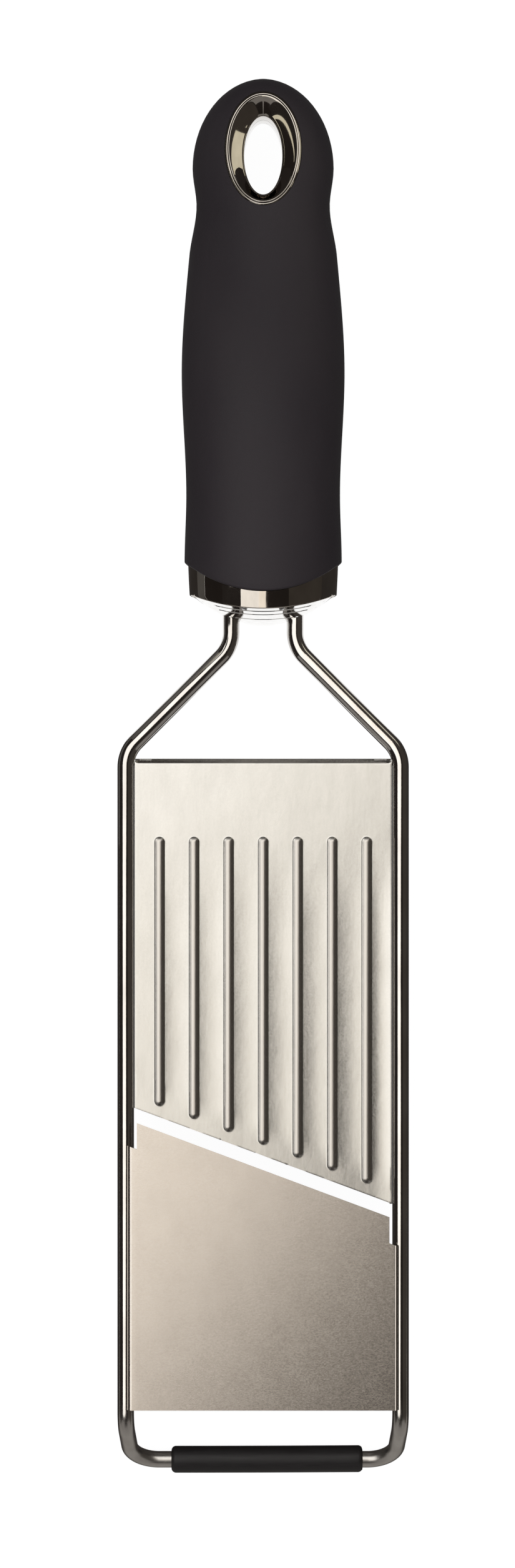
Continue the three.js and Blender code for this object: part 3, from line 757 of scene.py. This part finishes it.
def sag_flat(runway, flat_half):
    """Hangs the strips right of each rib in fading hollows, and lets the last one rise to its side."""

    def fade(inside, length):
        share = min(max(inside / length, 0), 1)
        return share * share * (3 - 2 * share)

    def sag(spot):
        low_y = slant_y(RUNWAY_EDGE_Y, spot.x) + RIB_ABOVE_EDGE
        below_top = fade(RIB_UPPER_Y - spot.y, SAG_UPPER_FADE)
        depth = SAG_DEPTH * below_top * fade(spot.y - low_y, SAG_LOWER_FADE)
        lift = 0
        for low, high in gap_spans(flat_half)[1:]:
            share = (spot.x - low) / (high - low)
            if 0 < share < 1 + SIDE_SLACK:
                side_rise = RIGHT_SIDE_RISE * below_top * share**2 if high == flat_half else 0
                lift += side_rise - depth * hump(share)
        return Vector((0, 0, lift))

    shift_vertices(runway, sag)


def rib_steps():
    """Each step from a rib's outline to its crown: how far in and how far up."""
    spots = [(0, 0)]

    def add_arc(start, end, radius, steps):
        begin_in, begin_up = spots[-1]
        for k in range(1, steps + 1):
            tilt = start + (end - start) * k / steps
            along = radius * abs(math.sin(tilt) - math.sin(start))
            up = radius * abs(math.cos(tilt) - math.cos(start))
            spots.append((begin_in + along, begin_up + up))

    add_arc(0, RIB_FOOT_ANGLE, RIB_FOOT_FILLET, FILLET_STEPS)
    add_arc(RIB_FOOT_ANGLE, FLANK_ANGLE, EDGE_FILLET, FILLET_STEPS)
    flank_in, flank_up = spots[-1]
    crown_in = RIB_HALF - CROWN_RADIUS * math.sin(FLANK_ANGLE)
    spots.append((crown_in, flank_up + (crown_in - flank_in) * math.tan(FLANK_ANGLE)))
    add_arc(FLANK_ANGLE, 0, CROWN_RADIUS, CROWN_STEPS)
    spots.pop()
    return [(b[0] - a[0], b[1] - a[1]) for a, b in zip(spots, spots[1:])]


def press_ribs():
    """Presses every rib up out of the sheet, ring by ring."""
    select("FACE", is_rib)
    bpy.ops.mesh.inset(thickness=RIB_SKIRT * MM)
    for inward, upward in rib_steps():
        bpy.ops.mesh.inset(thickness=inward * MM, depth=upward * MM)


def break_edges(piece):
    """Takes the sharpness off a sheet's cut edges."""
    apply_modifier(
        piece,
        "BEVEL",
        width=CUT_EDGE * MM,
        segments=CUT_EDGE_STEPS,
        limit_method="ANGLE",
        angle_limit=CUT_EDGE_ANGLE,
    )


def slant_y(middle_y, x):
    return middle_y - x * math.tan(SLANT)


def make_blade(material):
    """The blade plate: sides turned down onto the rods, and a narrower tongue with the ground edge."""
    tab_y = BLADE_EDGE_Y - BLADE_NECK
    high = tab_y + BLADE_FLAT_HALF
    centre = metres(0, (high + BLADE_END_Y) / 2, BLADE_Z)
    blade = open_plane("blade", centre, 2 * BLADE_FLAT_HALF, high - BLADE_END_Y)
    for x in (-BLADE_TONGUE_HALF, BLADE_TONGUE_HALF):
        slice_piece(metres(x, 0, 0), (1, 0, 0))

    def side(edge):
        return all(abs(vert.co.x) > (BLADE_FLAT_HALF - NEAR) * MM for vert in edge.verts)

    left_line = round_bend(BLADE_LEFT_BEND, BLADE_BEND_DROP, BLADE_DEPTH, BEND_STEPS)
    right_line = [(out, 0) for out in CREASE_LINES]
    right_steps = BEND_STEPS - len(CREASE_LINES)
    for out, drop in round_bend(BLADE_RIGHT_BEND, BLADE_BEND_DROP, BLADE_DEPTH, right_steps):
        right_line.append((CREASE_LINES[-1] + out, drop))

    def bend(spot, step):
        out, drop = (left_line if spot.x < 0 else right_line)[step]
        return Vector((math.copysign(out, spot.x), 0, -drop))

    turn_down(blade, side, bend)
    slice_piece(metres(0, tab_y, 0), SLANT_FACING, clear_outer=True)

    def tongue_root(edge):
        return all(
            abs(vert.co.x) < (BLADE_TONGUE_HALF + NEAR) * MM
            and abs(vert.co.y / MM - slant_y(tab_y, vert.co.x / MM)) < NEAR
            for vert in edge.verts
        )

    select("EDGE", tongue_root)
    grind_y = BLADE_EDGE_Y - BLADE_GRIND / math.cos(SLANT)
    extrude(0, grind_y - tab_y, 0)
    extrude(0, BLADE_EDGE_Y - grind_y, 0)
    close_piece(blade)
    forget_bends(blade)
    apply_modifier(blade, "SOLIDIFY", thickness=SHEET * MM, offset=-1, use_even_offset=True)
    reopen(blade)
    select(
        "VERT",
        lambda vert: vert.co.z < (BLADE_Z - SHEET / 2) * MM
        and vert.co.y / MM > slant_y(BLADE_EDGE_Y, vert.co.x / MM) - NEAR,
    )
    bpy.ops.transform.translate(value=metres(0, 0, SHEET - BLADE_EDGE))
    crease_x = BLADE_FLAT_HALF + CREASE_LINES[1]
    select(
        "VERT",
        lambda vert: abs(vert.co.x / MM - crease_x) < NEAR and vert.co.z > (BLADE_Z - SHEET / 2) * MM,
    )
    bpy.ops.transform.translate(value=metres(0, 0, -CREASE_DEPTH))
    bpy.ops.object.mode_set(mode="OBJECT")
    break_edges(blade)
    finish_piece(blade, material, "blade_plate", flat_sheet=True)


def make_foot(material):
    """A rubber sleeve on the crossbar, round at its ends and a little askew."""
    bpy.ops.mesh.primitive_cylinder_add(
        vertices=FOOT_SIDES,
        radius=FOOT_RADIUS * MM,
        depth=(FOOT_HIGH_X - FOOT_LOW_X) * MM,
        location=metres((FOOT_LOW_X + FOOT_HIGH_X) / 2, FOOT_Y, FOOT_Z),
        rotation=(0, math.pi / 2, 0),
    )
    foot = open_piece("foot_rubber")
    select("FACE", lambda face: len(face.verts) == FOOT_SIDES)
    bpy.ops.mesh.inset(thickness=(FOOT_RADIUS - ROD_HOLE) * MM, use_individual=True)
    bpy.ops.mesh.delete(type="ONLY_FACE")
    select("EDGE", lambda edge: edge.is_boundary)
    bpy.ops.mesh.bridge_edge_loops()

    def is_outside(spot):
        return math.hypot(spot.y - FOOT_Y, spot.z - FOOT_Z) > (FOOT_RADIUS + ROD_HOLE) / 2

    def end_edge(edge):
        start, end = (vert.co / MM for vert in edge.verts)
        return abs(start.x - end.x) < NEAR and is_outside((start + end) / 2)

    select("EDGE", end_edge)
    bpy.ops.mesh.bevel(offset=FOOT_ROUND * MM, segments=FOOT_ROUND_STEPS)
    sliced = FOOT_HIGH_X - FOOT_LOW_X - 2 * FOOT_SLICE_INSET
    for k in range(1, FOOT_SLICES):
        slice_piece(metres(FOOT_LOW_X + FOOT_SLICE_INSET + sliced * k / FOOT_SLICES, 0, 0), (1, 0, 0))

    def tilt(spot):
        share = (spot.x - FOOT_LOW_X) / (FOOT_HIGH_X - FOOT_LOW_X)
        return Vector((0, FOOT_TILT * share**2 if is_outside(spot) else 0, 0))

    shift_vertices(foot, tilt)
    close_piece(foot)
    finish_piece(foot, material, "foot_sleeve")


def make_grip(material):
    """The soft grip: a skin drawn up from its waist to a closed head and down to its curved skirt."""
    grip = open_ring("soft_grip_skin", GRIP_SIDES, lambda turn: handle_spot(turn, WAIST_Y))
    rings = math.ceil((HEAD_Y - WAIST_Y) / GRIP_RING_STEP)
    heights = [WAIST_Y + (HEAD_Y - WAIST_Y) * k / rings for k in range(1, rings + 1)]
    for k in range(1, GRIP_HEAD_RINGS + 1):
        heights.append(HEAD_Y + HEAD_REACH * math.sin(math.pi / 2 * k / GRIP_HEAD_RINGS))
    for y in heights:
        add_ring(grip, lambda turn: handle_spot(turn, y))
    bpy.ops.mesh.merge(type="CENTER")
    select("VERT", lambda vert: abs(vert.co.y / MM - WAIST_Y) < NEAR)
    for k in range(1, GRIP_SKIRT_RINGS + 1):
        share = k / GRIP_SKIRT_RINGS

        def skirt_spot(turn):
            return handle_spot(turn, WAIST_Y + (skirt_y(turn) - WAIST_Y) * share)

        add_ring(grip, skirt_spot)
    close_rings(grip)
    apply_modifier(grip, "SOLIDIFY", thickness=GRIP_WALL * MM, offset=-1)
    reopen(grip)

    def skirt_lip(edge):
        for vert in edge.verts:
            spot = vert.co / MM
            if abs(spot.y - dip_arc(spot.x, SKIRT_Y, SKIRT_DIP)) > GRIP_LIP_NEAR_Y:
                return False
            if abs(spot.z - ROD_Z) < grip_height(spot.x, spot.y) - GRIP_LIP_NEAR_Z:
                return False
        return True

    select("EDGE", skirt_lip)
    bpy.ops.mesh.bevel(offset=GRIP_LIP * MM, segments=GRIP_LIP_STEPS)
    cut_away(grip, eye_cutter())
    finish_piece(grip, material, "soft_grip")


def eye_cutter():
    """An oval bar through the head, a hair wider than the eyelet."""
    bpy.ops.object.mode_set(mode="OBJECT")
    bpy.ops.mesh.primitive_cylinder_add(
        vertices=EYE_SIDES,
        radius=MM,
        depth=MM,
        location=metres(0, EYE_Y, ROD_Z),
    )
    cutter = open_piece("eye_cutter")
    size = (EYE_WIDTH / 2 + EYE_GAP, EYE_LENGTH / 2 + EYE_GAP, 2 * HEAD_THICKNESS)
    bpy.ops.transform.resize(value=size)
    bpy.ops.object.mode_set(mode="OBJECT")
    return cutter


def skirt_y(turn):
    return dip_arc(SKIRT_HALF * unit_section(turn)[0], SKIRT_Y, SKIRT_DIP)


def rim_y(turn):
    return dip_arc(SKIRT_HALF * unit_section(turn)[0], RIM_Y, RIM_DIP)


def make_ferrule(material):
    """The plated collar: a curved band under the skirt with a rounded rim and a ledge inside it."""

    def band_spot(turn, fall, inset=0.0, drop=0.0):
        top_y = skirt_y(turn) - FERRULE_GAP
        y = top_y + (rim_y(turn) - top_y) * fall - drop
        inset_x = FERRULE_INSET + FERRULE_TAPER_SIDES * fall + inset
        inset_z = FERRULE_INSET + FERRULE_TAPER_FRONT * fall + inset
        return handle_spot(turn, y, inset_x, inset_z)

    ferrule = open_ring("ferrule_collar", GRIP_SIDES, lambda turn: band_spot(turn, 0, BAND_WALL))
    add_ring(ferrule, lambda turn: band_spot(turn, 0, CUT_EDGE))
    for k in range(FERRULE_RINGS + 1):
        fall = k / FERRULE_RINGS * BAND_SPAN + BAND_START
        add_ring(ferrule, lambda turn: band_spot(turn, fall))
    for tilt in quarter_turn():
        inset = RIM_ROUND * (1 - math.cos(tilt))
        drop = RIM_ROUND * math.sin(tilt) - RIM_ROUND
        add_ring(ferrule, lambda turn: band_spot(turn, 1, inset, drop))
    add_ring(ferrule, lambda turn: band_spot(turn, 1, RIM_LEDGE))
    add_ring(ferrule, lambda turn: band_spot(turn, LEDGE_FALL, RIM_LEDGE))
    add_ring(ferrule, lambda turn: band_spot(turn, 0, BAND_WALL))
    close_rings(ferrule)
    finish_piece(ferrule, material, "ferrule")


def make_dome(material):
    """The ferrule's bright domed end, with fine grooves round it and two holes for the rod."""

    def dome_spot(turn, share, lift):
        inset_x = FERRULE_INSET + FERRULE_TAPER_SIDES + DOME_INSET
        inset_z = FERRULE_INSET + FERRULE_TAPER_FRONT + DOME_INSET
        edge = handle_spot(turn, RIM_Y, inset_x, inset_z)
        z = ROD_Z - DOME_BEHIND + (edge.z - ROD_Z + DOME_BEHIND) * share
        edge_y = rim_y(turn) + DOME_TUCK
        y = DOME_LOW_Y + (edge_y - DOME_LOW_Y) * share**2
        fade = 1 - unit_section(turn)[0] ** GROOVE_FADE_POWER
        return Vector((edge.x * share, y + lift * fade, z))

    rings = [(1 - k / DOME_RINGS, 0) for k in range(DOME_RINGS)]
    for groove in DOME_GROOVES:
        rings = [ring for ring in rings if abs(ring[0] - groove) > 2 * GROOVE_HALF]
        rings += [(groove + GROOVE_HALF, 0), (groove, GROOVE_DEPTH), (groove - GROOVE_HALF, 0)]
    rings.sort(reverse=True)
    dome = open_ring("ferrule_dome", GRIP_SIDES, lambda turn: dome_spot(turn, *rings[0]))
    for ring in rings[1:]:
        add_ring(dome, lambda turn: dome_spot(turn, *ring))
    bpy.ops.mesh.merge(type="CENTER")
    select("EDGE", lambda edge: edge.is_boundary)
    for k in range(DOME_RINGS):
        share = 1 - k / DOME_RINGS
        add_ring(dome, lambda turn: dome_spot(turn, share, 0) + Vector((0, DOME_WALL, 0)))
    bpy.ops.mesh.merge(type="CENTER")
    close_rings(dome)
    for x in (-NECK_X, NECK_X):
        bpy.ops.mesh.primitive_cylinder_add(
            vertices=ROD_SIDES,
            radius=ROD_HOLE * MM,
            depth=ROD_HOLE_DEPTH * MM,
            location=metres(x, DOME_LOW_Y + DOME_WALL, ROD_Z),
            rotation=(math.pi / 2, 0, 0),
        )
        cut_away(dome, open_piece("rod_hole_cutter"))
    finish_piece(dome, material, "ferrule")


def make_eyelet(material, side, node):
    """Half of the hanging eyelet: a beaded rim that follows the grip, a dish and a straight hole."""

    def oval(turn, half_width, half_length, y):
        return half_width * math.cos(turn), y + half_length * math.sin(turn)

    def rim(turn, inward):
        return oval(turn, EYE_WIDTH / 2 - inward, EYE_LENGTH / 2 - inward, EYE_Y)

    def hole(turn, outward):
        return oval(turn, HOLE_WIDTH / 2 + outward, HOLE_LENGTH / 2 + outward, HOLE_Y)

    def spot(x, y, height):
        return Vector((x, y, ROD_Z + side * height))

    mouth_in = sum(width for width, _ in BEADS)

    def mouth_z(turn):
        return grip_height(*rim(turn, mouth_in)) + BEAD_PROUD

    def bead_spot(turn, inward, proud):
        x, y = rim(turn, inward)
        return spot(x, y, grip_height(x, y) + proud)

    def dish_spot(turn, share):
        mouth = rim(turn, mouth_in)
        edge = hole(turn, HOLE_LIP)
        x = mouth[0] + (edge[0] - mouth[0]) * share
        y = mouth[1] + (edge[1] - mouth[1]) * share
        return spot(x, y, mouth_z(turn) - DISH_DROP * share**DISH_POWER)

    def lip_spot(turn, tilt):
        x, y = hole(turn, HOLE_LIP * (1 - math.sin(tilt)))
        return spot(x, y, mouth_z(turn) - DISH_DROP - HOLE_LIP * (1 - math.cos(tilt)))

    eyelet = open_ring(f"{node}_ring", EYE_SIDES, lambda turn: spot(*rim(turn, 0), EYE_SEAT))
    add_ring(eyelet, lambda turn: bead_spot(turn, 0, BEAD_PROUD))
    bead_start = 0
    for width, crest in BEADS:
        for k in range(1, BEAD_STEPS + 1):
            share = k / BEAD_STEPS
            inward = bead_start + width * share
            proud = BEAD_PROUD + crest * hump(share)
            add_ring(eyelet, lambda turn: bead_spot(turn, inward, proud))
        bead_start += width
    for k in range(1, DISH_RINGS + 1):
        share = k / DISH_RINGS
        add_ring(eyelet, lambda turn: dish_spot(turn, share))
    for tilt in quarter_turn():
        add_ring(eyelet, lambda turn: lip_spot(turn, tilt))
    for outward, height in ((0, EYE_SPLIT), (EYE_WALL, EYE_SPLIT), (EYE_WALL, EYE_SEAT)):
        add_ring(eyelet, lambda turn: spot(*hole(turn, outward), height))
    add_ring(eyelet, lambda turn: spot(*rim(turn, 0), EYE_SEAT))
    close_rings(eyelet)
    finish_piece(eyelet, material, node, crease=EYE_CREASE_DEGREES)


# Finishes


def new_finish(name):
    material = bpy.data.materials.new(name)
    material.use_nodes = True
    return material, material.node_tree


def set_inputs(tree, node, inputs):
    """Links a node's inputs to other nodes' outputs, or sets them to plain values."""
    for name, value in inputs.items():
        if isinstance(value, bpy.types.NodeSocket):
            tree.links.new(value, node.inputs[name])
        else:
            node.inputs[name].default_value = value


def add_node(tree, kind, inputs, **settings):
    node = tree.nodes.new(f"ShaderNode{kind}")
    for name, value in settings.items():
        setattr(node, name, value)
    set_inputs(tree, node, inputs)
    return node


def object_place(tree):
    return add_node(tree, "TexCoord", {}).outputs["Object"]


def grain(tree, sizes, detail=3.0, turn=0.0):
    """Noise whose features are about as long as the three sizes, in millimetres."""
    scale = [1 / (size * MM) for size in sizes]
    inputs = {"Vector": object_place(tree), "Rotation": (0, 0, turn), "Scale": scale}
    mapping = add_node(tree, "Mapping", inputs)
    inputs = {"Vector": mapping.outputs["Vector"], "Scale": 1, "Detail": detail}
    return add_node(tree, "TexNoise", inputs).outputs["Fac"]


def between(tree, axis, start, end):
    """A factor that goes from 0 to 1 between two places along an axis, in millimetres."""
    along = add_node(tree, "SeparateXYZ", {"Vector": object_place(tree)}).outputs[axis]
    inputs = {"Value": along, "From Min": start * MM, "From Max": end * MM}
    return add_node(tree, "MapRange", inputs).outputs["Result"]


def spread(tree, factor, low, high):
    """The noise's usual range, stretched over low to high."""
    inputs = {"From Min": NOISE_LOW, "From Max": NOISE_HIGH, "To Min": low, "To Max": high}
    return add_node(tree, "MapRange", {"Value": factor, **inputs}).outputs["Result"]


def tint(tree, factor, dark, light):
    """A colour between two, by the noise."""
    ramp = add_node(tree, "ValToRGB", {"Fac": factor})
    first, last = ramp.color_ramp.elements
    first.position = NOISE_LOW
    first.color = (*dark, 1)
    last.position = NOISE_HIGH
    last.color = (*light, 1)
    return ramp.outputs["Color"]


def mix(tree, factor, first, second, kind="FLOAT"):
    """A value or a colour between two, by the factor."""
    inputs = {"Factor": factor, "A": first, "B": second}
    return add_node(tree, "Mix", inputs, data_type=kind).outputs["Result"]


def rise(tree, factor, height, **below):
    """A bump of that height in millimetres, over another bump where one is given as Normal."""
    inputs = {"Distance": height * MM, "Height": factor, **below}
    return add_node(tree, "Bump", inputs).outputs["Normal"]


def dress(material, colour, roughness, more):
    """Gives a finish its colour, its roughness and whatever more is named, and hands it back."""
    tree = material.node_tree
    inputs = {"Base Color": colour, "Roughness": roughness, **more}
    set_inputs(tree, tree.nodes["Principled BSDF"], inputs)
    return material


def rod_finish():
    """Polished steel with faint drawing marks and a little haze, satin where it bends to the foot."""
    material, tree = new_finish("polished_rod_steel")
    haze = grain(tree, (3, 9, 3))
    marks = grain(tree, (0.25, 3, 0.25))
    colour = tint(tree, haze, (0.55, 0.525, 0.5), (0.66, 0.64, 0.615))
    polish = spread(tree, mix(tree, 0.5, haze, marks), 0.05, 0.11)
    roughness = mix(tree, between(tree, "Y", SATIN_START_Y, SATIN_END_Y), polish, 0.33)
    return dress(material, colour, roughness, {"Normal": rise(tree, marks, 0.0015), "Metallic": 1})


def runway_finish():
    """Satin sheet steel with a fine tooth, faint brush marks and soft clouds, rougher on the ribs,
    whose crowns get a darker painted shade.
    """
    material, tree = new_finish("satin_runway_steel")
    tooth = grain(tree, (0.3, 0.4, 0.3), detail=4.0)
    marks = grain(tree, (0.4, 6, 0.4))
    clouds = grain(tree, (5, 11, 5))
    brushing = mix(tree, 0.25, tooth, marks)
    cloudy = mix(tree, 0.35, brushing, clouds)
    sheet = tint(tree, cloudy, (0.535, 0.519, 0.492), (0.645, 0.63, 0.602))
    # Painted shade: the raised ribs get a darker colour than the flat sheet to stand in for their
    # crowns' shading, and a higher roughness as well
    rib_painted_shade_and_dullness = between(tree, "Z", RUNWAY_Z + RIB_PAINTED_SHADE_LOW, RUNWAY_Z + RIB_PAINTED_SHADE_HIGH)
    colour = mix(tree, rib_painted_shade_and_dullness, sheet, (0.56, 0.53, 0.493, 1), "RGBA")
    roughness = mix(tree, rib_painted_shade_and_dullness, spread(tree, brushing, 0.18, 0.25), 0.3)
    bump = rise(tree, brushing, 0.002, Normal=rise(tree, clouds, 0.03))
    return dress(material, colour, roughness, {"Normal": bump, "Metallic": 1})


def blade_finish():
    """Satin steel with a fine slanting mottle."""
    material, tree = new_finish("satin_blade_steel")
    mottle = grain(tree, (0.45, 0.22, 0.3), detail=4.0, turn=math.radians(35))
    clouds = grain(tree, (6, 9, 6))
    colour = tint(tree, mix(tree, 0.3, mottle, clouds), (0.5, 0.455, 0.415), (0.61, 0.563, 0.52))
    roughness = spread(tree, mottle, 0.17, 0.228)
    return dress(material, colour, roughness, {"Normal": rise(tree, mottle, 0.0013), "Metallic": 1})


def grip_finish():
    """Matt soft-touch rubber with a very fine tooth."""
    material, tree = new_finish("soft_touch_rubber")
    tooth = grain(tree, (0.18, 0.18, 0.18))
    wear = grain(tree, (14, 30, 14))
    colour = tint(tree, wear, (0.0195, 0.0145, 0.0187), (0.0235, 0.018, 0.0217))
    roughness = spread(tree, mix(tree, 0.5, tooth, wear), 0.52, 0.68)
    more = {"Normal": rise(tree, tooth, 0.012), "Specular IOR Level": 0.32, "Sheen Weight": 0.06}
    return dress(material, colour, roughness, more)


def foot_finish():
    """Smooth black rubber, a little scuffed along the bar."""
    material, tree = new_finish("foot_black_rubber")
    scuffs = grain(tree, (5, 0.4, 0.4))
    skin = grain(tree, (0.2, 0.2, 0.2))
    colour = tint(tree, scuffs, (0.01, 0.0085, 0.009), (0.0145, 0.0125, 0.013))
    roughness = spread(tree, scuffs, 0.42, 0.58)
    bump = rise(tree, mix(tree, 0.5, scuffs, skin), 0.01)
    return dress(material, colour, roughness, {"Normal": bump, "Specular IOR Level": 0.4})


def trim_finish():
    """Dark mirror plating with a trace of handling."""
    material, tree = new_finish("dark_mirror_plating")
    smears = grain(tree, (2.5, 5, 2.5))
    colour = tint(tree, smears, (0.44, 0.405, 0.365), (0.52, 0.48, 0.435))
    return dress(material, colour, spread(tree, smears, 0.02, 0.06), {"Metallic": 1})


def dome_finish():
    """Bright plating with a soft polish."""
    material, tree = new_finish("bright_dome_plating")
    smears = grain(tree, (1.5, 2.5, 1.5))
    colour = tint(tree, smears, (0.86, 0.85, 0.835), (0.94, 0.935, 0.925))
    return dress(material, colour, spread(tree, smears, 0.06, 0.1), {"Metallic": 1})


def core_finish():
    """Moulded black plastic with a spark-worn texture."""
    material, tree = new_finish("moulded_core_plastic")
    texture = grain(tree, (0.3, 0.3, 0.3))
    colour = tint(tree, texture, (0.016, 0.0155, 0.0155), (0.026, 0.025, 0.025))
    roughness = spread(tree, texture, 0.4, 0.6)
    return dress(material, colour, roughness, {"Normal": rise(tree, texture, 0.02)})


# Floor, cards, lamps and camera


def maths(tree, operation, first, second):
    return add_node(tree, "Math", {0: first, 1: second}, operation=operation).outputs["Value"]


def make_floor():
    """A floor that is plain white to the camera and to shiny pieces, and keeps a faint shadow."""
    bpy.ops.mesh.primitive_plane_add(size=FLOOR_SIZE * MM)
    floor = bpy.context.object
    floor.name = "white_floor"
    material, tree = new_finish("white_floor_paint")
    tree.nodes.clear()
    path = add_node(tree, "LightPath", {}).outputs
    shiny = maths(tree, "MAXIMUM", path["Is Glossy Ray"], path["Is Transmission Ray"])
    seen = maths(tree, "MAXIMUM", path["Is Camera Ray"], shiny)
    glow = add_node(tree, "Emission", {"Strength": maths(tree, "MULTIPLY", seen, FLOOR_WHITE)})
    paint = add_node(tree, "BsdfDiffuse", {"Color": (FLOOR_PAINT, FLOOR_PAINT, FLOOR_PAINT, 1)})
    both = add_node(tree, "AddShader", {0: paint.outputs["BSDF"], 1: glow.outputs["Emission"]})
    add_node(tree, "OutputMaterial", {"Surface": both.outputs["Shader"]})
    floor.data.materials.append(material)


def make_card(name, corners, colour):
    """A glowing four-cornered card that only shiny pieces see."""
    bpy.ops.mesh.primitive_plane_add(size=MM)
    card = bpy.context.object
    card.name = name
    for vert, corner in zip(card.data.vertices, corners):
        vert.co = metres(*corner)
    material, tree = new_finish(f"{name}_paint")
    tree.nodes.clear()
    glow = add_node(tree, "Emission", {"Color": (*colour, 1)})
    add_node(tree, "OutputMaterial", {"Surface": glow.outputs["Emission"]})
    card.data.materials.append(material)
    for ray in ("camera", "diffuse", "transmission", "shadow"):
        setattr(card, f"visible_{ray}", False)


def make_softbox():
    """The big softbox that the plates show, in strips that each have a front and a warmer right rim."""
    for i, ((low_y, low_x), (high_y, high_x)) in enumerate(zip(SOFTBOX_EDGE, SOFTBOX_EDGE[1:])):
        low_left = SOFTBOX_LEFT + SOFTBOX_LEAN * low_y
        high_left = SOFTBOX_LEFT + SOFTBOX_LEAN * high_y
        low_rim = low_x - SOFTBOX_RIM
        high_rim = high_x - SOFTBOX_RIM
        front = [(low_left, low_y), (low_rim, low_y), (high_left, high_y), (high_rim, high_y)]
        rim = [(low_rim, low_y), (low_x, low_y), (high_rim, high_y), (high_x, high_y)]
        make_card(f"softbox_front_{i}", [(x, y, SOFTBOX_Z) for x, y in front], SOFTBOX_WHITE)
        make_card(f"softbox_rim_{i}", [(x, y, SOFTBOX_Z) for x, y in rim], SOFTBOX_RIM_WHITE)


def make_cards():
    """A dark floor with windows at the dome, the shoulders and the eye, dim walls and small cards."""
    floor_cards = [(*card, FLOOR_CARD_Z) for card in FLOOR_CARDS]
    for name, colour, low_x, high_x, low_y, high_y, z in floor_cards + LEVEL_CARDS:
        make_card(name, [(x, y, z) for y in (low_y, high_y) for x in (low_x, high_x)], colour)
    for name, colour, low_x, high_x, y, low_z, high_z in UPRIGHT_CARDS:
        make_card(name, [(x, y, z) for z in (low_z, high_z) for x in (low_x, high_x)], colour)
    for name, corners in EYE_CARDS:
        make_card(name, [(x, y, EYE_CARD_Z) for x, y in corners], BEIGE)
    span = (-RIGHT_WALL_HALF, RIGHT_WALL_HALF)
    right_wall = [(RIGHT_WALL_X, y, z) for z in (0, RIGHT_WALL_TOP) for y in span]
    make_card("right_wall", right_wall, RIGHT_WALL_BROWN)


def make_lamp(name, centre, size, radiance):
    """A soft rectangular lamp that faces straight down and isn't seen in shiny pieces."""
    data = bpy.data.lights.new(name, "AREA")
    data.shape = "RECTANGLE"
    data.size = size[0] * MM
    data.size_y = size[1] * MM
    data.energy = radiance * math.pi * data.size * data.size_y
    lamp = bpy.data.objects.new(name, data)
    lamp.location = metres(*centre)
    lamp.visible_camera = False
    lamp.visible_glossy = False
    bpy.context.scene.collection.objects.link(lamp)


def make_world():
    """White to the camera, a dark room to shiny pieces, and an even grey light to everything else."""
    world = bpy.data.worlds.new("studio")
    world.use_nodes = True
    bpy.context.scene.world = world
    tree = world.node_tree
    path = add_node(tree, "LightPath", {}).outputs
    room = mix(tree, path["Is Glossy Ray"], ROOM_GREY, ROOM_DARK, "RGBA")
    backdrop = mix(tree, path["Is Camera Ray"], room, (1, 1, 1, 1), "RGBA")
    set_inputs(tree, tree.nodes["Background"], {"Color": backdrop})


def make_camera():
    """A long lens straight above the tool, as far off as the photograph's."""
    data = bpy.data.cameras.new("photograph")
    data.sensor_width = SENSOR_WIDTH
    data.lens = SENSOR_WIDTH * CAMERA_HEIGHT / FRAME_LENGTH
    camera = bpy.data.objects.new("photograph", data)
    camera.location = metres(VIEW_X, VIEW_Y, ROD_Z + CAMERA_HEIGHT)
    bpy.context.scene.collection.objects.link(camera)
    bpy.context.scene.camera = camera


make_rod(rod_finish())
make_runway(runway_finish())
make_blade(blade_finish())
make_foot(foot_finish())
make_grip(grip_finish())
trim = trim_finish()
make_ferrule(trim)
make_dome(dome_finish())
make_eyelet(trim, 1, "eyelet_front")
make_eyelet(trim, -1, "eyelet_back")
core = core_finish()
for node in ("core_front", "core_back"):
    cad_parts[node].data.materials.clear()
    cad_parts[node].data.materials.append(core)

make_floor()
make_softbox()
make_cards()
make_lamp("softbox_light", *SOFTBOX_LAMP)
make_lamp("overhead_fill", *FILL_LAMP)
make_world()
make_camera()
bpy.context.scene.view_settings.view_transform = "Standard"
